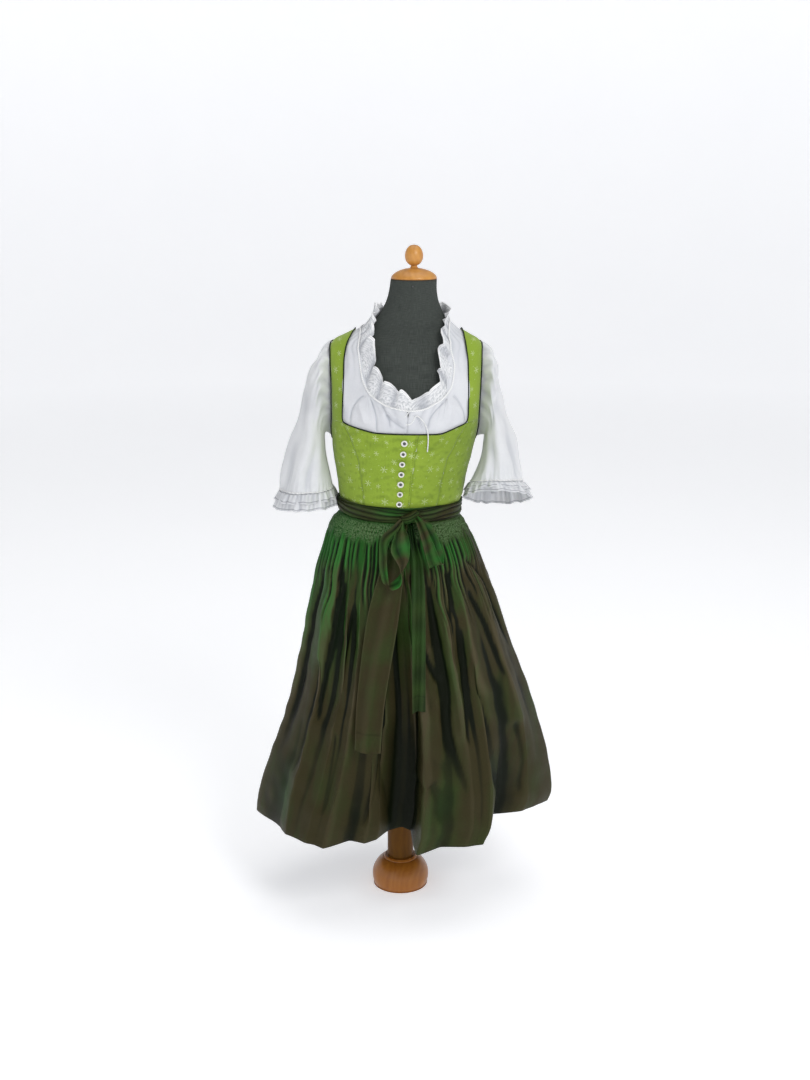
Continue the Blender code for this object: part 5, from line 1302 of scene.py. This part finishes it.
uneven = 0.30 + 1.3 * np.abs(alongArc(0.030, 49))
gathers = 0.0072 * uneven * (np.abs(np.sin(beat / 2)) ** 0.45 - 0.8) + 0.0014 * np.sin(beat * 2.1 + 3 * drift)
lower = 1 - soft(apronZ, 0.60, 0.70)
slack = 0.0016 * ripple(apronPlain * (1, 1, 0.15), 0.085, 45)
slack = (slack + 0.0005 * ripple(apronPlain * (1, 1, 0.3), 0.030, 46)) * lower
crossed = 0.0009 * ripple(apronPlain * (0.7, 0.7, 1.6), 0.050, 48) * lower
creased = 1.2 * creaseField(apronAngle, apronZ, apronCreases, 1.1)
hemFold = 0.0008 * soft(-(apronZ - hems), -0.026, -0.023)
apronOut = (pleats + rows + puffs) * smockBody + gathers * released + slack + crossed + creased + hemFold
apronNormal = normalsOf(apronPlain)
apronNormal *= np.sign(np.sum(apronNormal * (apronPlain - (0, 0, 0.5))))
apronNormal[..., 2] *= 0.4
apronShell = apronPlain + apronNormal * (apronOut * soft(0.8352 - apronZ, 0.0, 0.006))[..., None]
apronShell[..., 2] += bandRise(apronAngle) * soft(apronZ, 0.74, apron["top"])
facingSide = normalsOf(apronShell)
facingSide *= np.sign(np.sum(facingSide * apronNormal))
across = apronShell[..., 0] - hang("cx", apronZ)
stand = np.hypot(across, apronShell[..., 1] * hang("half", apronZ) / hang("front", apronZ))


def blurred(field, wide):
    # the field's mean over so many columns to each side, taken twice
    for _ in range(2):
        padded = np.pad(field, ((0, 0), (wide, wide)), mode="edge")
        field = np.mean([padded[:, i : i + field.shape[1]] for i in range(2 * wide + 1)], axis=0)
    return field


# painted shade in the folds' valleys, narrow and wide, less on the smocking and lower down
narrowDip, wideDip = blurred(stand, 3) - stand, blurred(stand, 14) - stand
upper = 0.3 + 0.7 * soft(apronZ, 0.34, 0.52)
paintedShade = 1.6 * upper * soft(narrowDip, 0.0001, 0.0010)
paintedShade = unit(paintedShade + 0.85 * (0.45 + 0.55 * upper) * soft(wideDip, 0.003, 0.018)) * (1 - 0.7 * smockBody)
# painted shade over the hollow in front of the post
recessShade = soft(apronAngle, -10.5, -6.5) * soft(-apronAngle, -6.3, -5.5)
paintedShade = unit(paintedShade + 0.75 * soft(0.50 - apronZ, 0.0, 0.14) * recessShade)
# painted highlight along the ridges
high = soft(-narrowDip, 0.0002, 0.0016) * (1 - smockBody) * upper


def patchOf(angle, z, width, height):
    return np.exp(-((apronAngle - angle) / width) ** 2 - ((apronZ - z) / height) ** 2)


# the green share of the shot cloth is painted: greener at the top, on folds turned to the wearer's right, in
# a few patches and beside the painted ridge highlights, where the green weft catches the light; a random
# ripple varies it
shot = (0.02 + 0.66 * soft(apronZ, 0.725, 0.770)
        - 0.55 * facingSide[..., 0] * soft(apronZ, 0.42, 0.70)
        + 0.42 * patchOf(-58, 0.26, 12, 0.07) + 0.20 * patchOf(17, 0.30, 8, 0.06)
        + 0.30 * patchOf(-46, 0.64, 8, 0.08) + 0.30 * patchOf(42, 0.68, 10, 0.05)
        + 0.16 * ripple(apronPlain, 0.12, 52) + 0.34 * high * soft(apronZ, 0.52, 0.72))
apronLooks = {"shot": unit(shot), "smock": smockBody, "paintedShade": paintedShade, "high": high}
apronPiece = addCloth("apronPanel", apronShell, apron["cloth"], smockedTaffeta, away=(0.0, 0.06, 0.5),
                      attributes=apronLooks)
rideOn(apronPiece, "shot_taffeta", "apron_panel")

# the skirt under it: a full round of dark cloth, gathered at the waist and falling in long folds
skirt = {"columns": 300, "rows": 80, "top": 0.8472, "hem": 0.178, "cloth": 0.0006, "wall": 0.0016,
         "sideAngle": 112.0, "backFolds": 6, "backSwell": 0.035, "fallIn": 0.016,
         "nearAngle": 5, "nearRows": 5,
         "apronEnds": (92, 104), "backStarts": (106, 114), "hangsFree": (108, 118)}
turn = np.linspace(-180, 180, skirt["columns"], endpoint=False)
overHem = np.interp(turn, foldValue("angleLow", places[0]), hems[0])
overHem += 0.010 - 0.014 * hump(turn, -38.0, 7.0)
raised = np.maximum(overHem - skirt["hem"], 0) * (1 - soft(np.abs(turn), *skirt["apronEnds"]))
t = np.linspace(0, 1, skirt["rows"]) ** 1.05
skirtZ = skirt["top"] + (skirt["hem"] - skirt["top"]) * t
swells = np.ones((skirt["rows"], skirt["columns"]))
aside, ahead = across / hang("half", apronZ), -apronShell[..., 1] / hang("front", apronZ)
apronTurn, apronReach = np.degrees(np.arctan2(aside, ahead)), np.hypot(aside, ahead)
spot = np.clip(((apronTurn + 180) / 360 * skirt["columns"]).astype(int), 0, skirt["columns"] - 1)
line = np.clip(np.searchsorted(-skirtZ, -apronZ), 0, skirt["rows"] - 1)
np.minimum.at(swells, (line, spot), apronReach)
least = swells.copy()
reach = round(skirt["nearAngle"] / 360 * skirt["columns"])
for shift in range(-reach, reach + 1):
    least = np.minimum(least, np.roll(swells, shift, axis=1))
tall = least.copy()
for shift in range(-skirt["nearRows"], skirt["nearRows"] + 1):
    moved = least[np.clip(np.arange(skirt["rows"]) + shift, 0, skirt["rows"] - 1)]
    tall = np.minimum(tall, moved)
for _ in range(10):
    tall = easedRound(tall, 1)
    tall[1:-1] = easedInside(tall)
drop = skirt["top"] - skirtZ[:, None]
behind = (np.abs(turn)[None, :] - skirt["sideAngle"]) / (180 - skirt["sideAngle"])
folds = 1 - np.cos(math.pi * skirt["backFolds"] * unit(behind))
folds = skirt["backSwell"] * np.minimum(1, drop / 0.4) * folds
uneven = 1 + 0.35 * np.sin(turn * 0.09 + 1.0)[None, :]
edge = 0.015 * np.minimum(1.0, drop / 0.1)
back = 1 - edge - folds * uneven
share = soft(np.abs(turn)[None, :], *skirt["backStarts"])
swell = tall * (1 - share) + back * share
skirtPlain = hangPoint(skirtZ[:, None] + raised * t[:, None], turn[None, :], swell)
far = np.linalg.norm(skirtPlain[..., :2], axis=-1)
clear = np.where(skirtZ[:, None] > 0.835, 0.0006, 0.0026 + skirt["fallIn"] * drop)
freeBack = soft(np.abs(turn)[None, :], *skirt["hangsFree"])
waistGathers = 0.0026 * np.sin(np.radians(turn)[None, :] * 52 + 2 * ripple(skirtPlain, 0.09, 61))
waistGathers = waistGathers * soft(drop, 0.012, 0.03) * (1 - soft(drop, 0.10, 0.30))
slack = 0.0045 * ripple(skirtPlain * (1, 1, 0.4), 0.09, 62)
slack = (slack + 0.0020 * ripple(skirtPlain * (1, 1, 0.7), 0.04, 63)) * soft(drop, 0.05, 0.2)
under = -0.0022 * (0.5 - 0.5 * np.sin(np.radians(turn)[None, :] * 60)) * soft(drop, 0.03, 0.1)
inwards = skirt["wall"] + clear - (waistGathers + slack) * freeBack - under * (1 - freeBack)
skirtShell = skirtPlain.copy()
skirtShell[..., :2] *= ((far - inwards) / far)[..., None]
skirtPiece = rideOn(addCloth("darkSkirt", skirtShell, skirt["cloth"], skirtCotton, closed=True), "dark_skirt",
                    "skirt_front", "skirt_back")
print("skirt and apron")


# the apron's band and the ties wrapped over it, in soft lengthwise folds that draw together at the knot
waist = {
    "columns": 340, "rows": 20, "knotAngle": 7.0, "cloth": 0.0007, "formFrom": 0.850,
    "band": {"low": 0.8350, "high": 0.8670, "out": 0.0094, "ridges": 2, "fan": 1.1, "depth": 0.0012,
             "pinch": 0.05, "slant": 0.0, "green": 0.30},
    "ties": {"low": 0.8385, "high": 0.8635, "out": 0.0118, "ridges": 2.2, "fan": 2.1, "depth": 0.0026,
             "pinch": 0.40, "slant": 0.0015, "green": 0.22},
}


def addWaistBand(name, node, seed, flat, low, high, out, ridges, fan, depth, pinch, slant, green):
    columns = waist["columns"]
    turn = np.linspace(-180, 180, columns, endpoint=False)[None, :]
    v = np.linspace(0, 1, waist["rows"])[:, None]
    near = np.exp(-((turn - waist["knotAngle"]) / 16) ** 2)
    narrow = pinch * np.exp(-((turn - waist["knotAngle"]) / 20) ** 2)
    aside = np.abs(np.sin(np.radians(turn - waist["knotAngle"]) / 2))
    middle = (low + high) / 2 + bandRise(turn) + slant * np.sin(np.radians(turn) * 2) + 0.0012 * ripple(
        np.stack([np.radians(turn) * 0.12, 0 * turn], axis=-1), 0.14, seed)
    heights = middle + (v - 0.5) * (high - low) * (1 - narrow)
    wander = ripple(np.stack([np.radians(turn) * 0.12 + 0 * v, v * 0.05 + 0 * turn], axis=-1), 0.11, seed + 1)
    beat = (v * ridges - fan * aside + 0.15 * wander + 0.35) * 2 * math.pi
    folds = np.abs(np.sin(beat / 2)) ** 0.5
    onWaist = np.maximum(heights, waist["formFrom"])  # below this the form narrows and the band doesn't
    place = overForm(onWaist, turn + 0 * v, 0.0)
    wrinkles = 0.0005 * ripple(place * (1, 1, 3.5), 0.040, seed + 2) + 0.0004 * np.sin(beat * 2 + 5 * wander)
    rolled = -0.0009 * (1 - np.sin(math.pi * unit(v)) ** 0.35)
    lift = out + depth * (folds - 0.5) * (1 + 0.7 * near) + wrinkles + rolled
    grid = overForm(onWaist, turn + 0 * v, np.maximum(lift, out - 0.0012))
    grid[..., 2] = heights
    # painted light: greener where the front is lit, a painted highlight on the fold crowns, and painted shade
    # in the folds' valleys
    lit = np.exp(-((turn + 3) / 17) ** 2) * soft(v, 0.25, 0.6)
    shown = green * (0.3 + 0.9 * folds) + 0.25 * wander + 0.55 * lit
    shine = 0.9 * soft(folds, 0.86, 1.0) * soft(wander, -0.5, 0.3) * (0.45 + 0.55 * lit)
    looks = {"shot": unit(shown), "paintedShade": unit(1.5 * (1 - folds)) ** 1.6, "high": shine}
    piece = addCloth(name, grid, waist["cloth"], taffeta, closed=True, attributes=looks)
    rideOn(piece, "shot_taffeta", node)


addWaistBand("apronBand", "apron_band", 71, (0.72, 0.036), **waist["band"])
addWaistBand("apronTies", "apron_ties", 74, (0.76, 0.028), **waist["ties"])

# the knot: a wrap of cloth with its creases running round it
knot = {"place": (0.0200, -0.1031, 0.8485), "half": (0.0185, 0.0090, 0.0086), "tilt": 0.46, "sides": 64,
        "rows": 40}
turns = wayRound(knot["sides"])[None, :]
lifts = np.linspace(-1, 1, knot["rows"])[:, None]
size = np.sqrt(np.maximum(0.14, 1 - (np.abs(lifts) * 0.93) ** 2))
winding = np.abs(np.sin(lifts * 4.6 + 0.9 * np.cos(turns) + 0.5))
wraps = 1 + 0.13 * winding + 0.04 * np.sin(3 * turns + 4 * lifts)
backed = np.where(np.sin(turns) < 0, 1.0, 0.25)
knotX = knot["half"][0] * (0.55 + 0.45 * size) * wraps * np.cos(turns)
knotZ = knot["half"][2] * lifts + 0.0012 * np.cos(turns * 2)
knotRings = np.stack([
    knot["place"][0] + knotX * math.cos(knot["tilt"]) - knotZ * math.sin(knot["tilt"]),
    knot["place"][1] + knot["half"][1] * (0.35 + 0.65 * size) * wraps * np.sin(turns) * backed,
    knot["place"][2] + knotX * math.sin(knot["tilt"]) + knotZ * math.cos(knot["tilt"]),
], axis=-1)
# painted shade in the creases of the wrap
knotShade = unit(1.1 - winding * 1.7)
knotLooks = {"shot": 0.40 - 0.3 * lifts + 0 * knotShade, "paintedShade": knotShade}
rideOn(addStack("bowKnot", knotRings, taffeta, knotLooks), "shot_taffeta", "bow_knot")

# the loops hang open from the knot: each is one strip that leaves it and comes back, given by its two edges
bow = {
    "cloth": 0.0008,
    "loopColumns": 150, "loopRows": 22, "tailColumns": 34, "tailRows": 150,
    "right": [
        (0.0040, -0.1045, 0.8470, 0.0040, -0.1090, 0.8390),
        (*seen(392, 527, 0.118), *seen(398, 531, 0.128)),
        (*seen(381, 538, 0.130), *seen(389, 543, 0.138)),
        (*seen(379, 556, 0.140), *seen(387, 560, 0.144)),
        (*seen(380, 572, 0.150, 0.001), *seen(388, 577, 0.154, 0.001)),
        (*seen(385, 584, 0.156, 0.001), *seen(391, 590, 0.172)),
        (*seen(397, 578, 0.154, 0.002), *seen(401, 585, 0.172, 0.002)),
        (*seen(408, 562, 0.150, 0.001), *seen(400, 568, 0.168, 0.002)),
        (*seen(410, 548, 0.146), *seen(391, 552, 0.162)),
        (*seen(408.5, 536, 0.132), *seen(394, 538, 0.144)),
        (0.0085, -0.1160, 0.8320, -0.0040, -0.1185, 0.8330),
    ],
    "left": [
        (0.0350, -0.1040, 0.8500, 0.0279, -0.1040, 0.8440),
        (*seen(431, 524, 0.112), *seen(420, 526, 0.112)),
        (*seen(438, 538, 0.122), *seen(426, 541, 0.122)),
        (*seen(443, 552, 0.132), *seen(430, 556, 0.132)),
        (*seen(444, 563, 0.142), *seen(430, 566, 0.142)),
        (*seen(442, 564, 0.156), *seen(429, 567, 0.156)),
        (*seen(436, 550, 0.158), *seen(425, 553, 0.158)),
        (*seen(430, 536, 0.146), *seen(421, 539, 0.146)),
        (*seen(424, 522, 0.120, 0.003), 0.0330, -0.1230, 0.8400),
        (0.0365, -0.1105, 0.8530, 0.0281, -0.1100, 0.8450),
    ],
    "tailRight": [
        (0.8355, 0.000, 0.0150), (0.790, -0.022, 0.011), (0.730, -0.045, 0.006), (0.656, -0.065, -0.003),
        (0.560, -0.079, -0.019), (0.470, -0.088, -0.033), (0.392, -0.091, -0.039),
    ],
    "tailLeft": [
        (0.8355, 0.0160, 0.0260), (0.800, 0.0190, 0.0340), (0.760, 0.0225, 0.0450), (0.700, 0.0230, 0.050),
        (0.590, 0.0240, 0.051), (0.475, 0.0250, 0.051),
    ],
    "tailFloat": 1.045, "tailLift": 0.0045, "nearKnot": 0.085,
}


def addLoop(name, rows, node, seed):
    path = smoothLine(rows, bow["loopColumns"], closed=True)
    one, other = path[:, :3], path[:, 3:]
    share = np.linspace(0, 1, bow["loopRows"])[:, None, None]
    grid = one * (1 - share) + other * share
    out = normalsOf(grid, closed=True)
    near = unit(np.linalg.norm(one - knot["place"], axis=-1) / bow["nearKnot"])[None, :]
    share = share[..., 0]
    pleats = np.abs(np.sin(share * math.pi * 1.3 + 0.7 + 1.1 * ripple(one[None], 0.06, seed + 2))) ** 0.6
    crease = 0.0034 * (pleats - 0.6) * (1 - 0.75 * near)
    soften = 0.0010 * ripple(grid, 0.045, seed) - 0.0016 * np.sin(share * math.pi) * near
    grid = grid + out * (crease + soften)[..., None]
    shown = unit(0.42 + 0.75 * ripple(grid, 0.034, seed + 1))
    # painted shade in the pleats' valleys, less near the knot, with random darker patches; painted highlight
    # on the edges and the pleat crowns
    paintedShade = unit(1.3 * (1 - pleats)) ** 1.3 * (1 - 0.5 * near)
    paintedShade = paintedShade + 0.30 * soft(ripple(grid, 0.03, seed + 3), 0.2, 0.9)
    high = unit(soft(np.abs(share - 0.5), 0.44, 0.49) + 0.7 * soft(pleats, 0.8, 1.0) * (1 - 0.4 * near))
    piece = rideOn(addCloth(name, grid, bow["cloth"], taffeta, closed=True,
                            attributes={"shot": shown, "paintedShade": paintedShade, "high": high + 0 * paintedShade}),
                   "shot_taffeta", node)


addLoop("bowLoopRight", bow["right"], "bow_loop_right", 81)
addLoop("bowLoopLeft", bow["left"], "bow_loop_left", 83)


def addTail(name, rows, node, seed, hemCreases, green, shade):
    tail = makeTable(("z", "left", "right"), rows)
    z = np.linspace(rows[0][0], rows[-1][0], bow["tailRows"])[:, None]
    share = np.linspace(0, 1, bow["tailColumns"])[None, :]
    x = tail("left", z) * (1 - share) + tail("right", z) * share
    reach = (x - hang("cx", z)) / hang("half", z)
    y = -bow["tailFloat"] * hang("front", z) * np.sqrt(1 - reach**2) - bow["tailLift"]
    grid = np.stack([x, y, z + 0 * share], axis=-1)
    down = (rows[0][0] - z) / (rows[0][0] - rows[-1][0])
    wave = 0.0026 * np.sin(share * 2 * math.pi * 1.4 + 3 * down + seed) * soft(down, 0.0, 0.2)
    knotFolds = 0.0018 * np.sin(share * 2 * math.pi * 2.5) * (1 - soft(down, 0.0, 0.30))
    drape = 0.0022 * ripple(grid * (1, 1, 0.45), 0.045, seed)
    hem = 0.0010 * soft(down, 0.915, 0.925)
    pulled = hemCreases * 0.0016 * np.abs(np.sin(share * math.pi * 4.5 + 9 * down)) * soft(down, 0.90, 0.98)
    grid[..., 1] -= wave + knotFolds + drape + hem - pulled
    grid[..., 2] += 0.0020 * np.sin(share * 5 + seed) * soft(down, 0.8, 1.0)
    shown = unit(green + 0.14 * ripple(grid, 0.07, seed + 1) + 0.3 * (1 - soft(down, 0.05, 0.3)))
    # painted shade in the knot folds and along the hem fold, and over the whole tail by its shade share;
    # painted highlight on the edges and the wave crests
    paintedShade = 0.8 * unit(-np.sin(share * 2 * math.pi * 2.5)) * (1 - soft(down, 0.02, 0.22))
    paintedShade = paintedShade + 0.35 * np.exp(-((down - 0.918) / 0.003) ** 2)
    paintedShade = paintedShade + shade * (0.7 + 0.6 * ripple(grid, 0.06, seed + 2))
    high = 0.8 * soft(np.abs(share - 0.5), 0.46, 0.49) + 0.25 * unit(wave / 0.0026)
    piece = rideOn(addCloth(name, grid, bow["cloth"], taffeta, away=(0, 0.2, 0.6), attributes={
        "shot": shown, "paintedShade": unit(paintedShade), "high": high + 0 * paintedShade}), "shot_taffeta", node)


addTail("bowTailRight", bow["tailRight"], "bow_tail_right", 2, 1.0, 0.04, 0.0)
addTail("bowTailLeft", bow["tailLeft"], "bow_tail_left", 5, 0.4, 0.42, 0.62)

# a small end of the tie curls up beside the knot
curl = {
    "path": [(0.027, -0.1110, 0.850), (0.033, -0.1155, 0.8555), (0.040, -0.1165, 0.8560),
             (0.043, -0.1150, 0.8510), (0.038, -0.1130, 0.8470), (0.030, -0.1115, 0.8465)],
    "width": 0.006,
}
curlPath = smoothLine(curl["path"], 60)
curlShare = np.linspace(0, 1, 8)[:, None, None]
curlGrid = curlPath[None] + np.array((0.0, -0.35, 0.15)) * curl["width"] * (curlShare - 0.5) * 2
rideOn(addCloth("tieCurl", curlGrid, waist["cloth"], taffeta, away=(0.036, -0.112, 0.8515)), "shot_taffeta")
print("band and bow")

# a dressmaker's pin pushed into the neck
pin = {"place": (0.0255, -0.0372, 1.2990), "head": 0.0016, "sides": 20, "rows": 14}
pinTurn = wayRound(pin["sides"])[None, :]
pinRise = np.linspace(0.05, math.pi - 0.05, pin["rows"])[:, None]
pinRings = np.stack([
    pin["head"] * np.sin(pinRise) * np.cos(pinTurn),
    -pin["head"] * 0.8 * np.cos(pinRise) + 0 * pinTurn,
    pin["head"] * np.sin(pinRise) * np.sin(pinTurn),
], axis=-1) + np.array(pin["place"])
rideOn(addStack("neckPin", pinRings, buttonEye), "ringed_button")
bpy.data.objects.remove(stitchShape)


# pale studio floor and soft light
studio = {
    "sky": 0.27, "flat": 8.0, "bend": 3.0, "height": 4.2, "sides": 96, "glow": 0.47,
    "lamps": {
        "keyLight": ((1.25, -2.35, 2.75), (0.0, 0.0, 0.75), 1.1, 38.0),
        "fillLight": ((-1.7, -2.5, 1.4), (0.0, 0.0, 0.75), 2.0, 8.0),
        "topLight": ((0.3, 0.4, 4.6), (0.0, 0.0, 0.0), 4.0, 60.0),
    },
}


def makeFloor():
    place = startMaterial("paleFloor", 0.85, Emission_Strength=studio["glow"],
                          Emission_Color=(0.96, 0.97, 1.0, 1.0))[1]
    return finishMaterial(mixColour(noise(place, 1.2, 3), (0.84, 0.84, 0.85), (0.88, 0.88, 0.88)))


# the floor bends up all round into a low wall in one sweep
rise = np.linspace(0, math.pi / 2, 16)
sweepLine = [(studio["flat"] * share, 0.0) for share in (0.02, 0.25, 0.5, 0.75)]
sweepLine += [(studio["flat"] + studio["bend"] * math.sin(a), studio["bend"] * (1 - math.cos(a)))
              for a in rise]
sweepLine += [(studio["flat"] + studio["bend"], studio["height"])]
around = wayRound(studio["sides"])
points = [(r * math.cos(a), r * math.sin(a), z) for r, z in sweepLine for a in around]
faces = [[i * studio["sides"] + k, i * studio["sides"] + (k + 1) % studio["sides"],
          (i + 1) * studio["sides"] + (k + 1) % studio["sides"], (i + 1) * studio["sides"] + k][::-1]
         for i in range(len(sweepLine) - 1) for k in range(studio["sides"])]
faces.append(list(range(studio["sides"])))
floor = finishMesh("studioFloor", np.array(points), faces, makeFloor())

world = bpy.data.worlds.new("studioWorld")
bpy.context.scene.world = world
world.use_nodes = True
world.node_tree.nodes["Background"].inputs[0].default_value = (0.97, 0.98, 1.0, 1.0)
world.node_tree.nodes["Background"].inputs[1].default_value = studio["sky"]
for name, (place, aimAt, size, power) in studio["lamps"].items():
    lamp = bpy.data.lights.new(name, "AREA")
    lamp.size = size
    lamp.energy = power
    light = addToScene(name, lamp)
    light.location = place
    aim = np.array(aimAt) - np.array(place)
    tilt, heading = math.acos(-aim[2] / np.linalg.norm(aim)), math.atan2(aim[1], aim[0])
    light.rotation_euler = (tilt, 0, heading - math.pi / 2)
bpy.context.scene.view_settings.view_transform = "Standard"
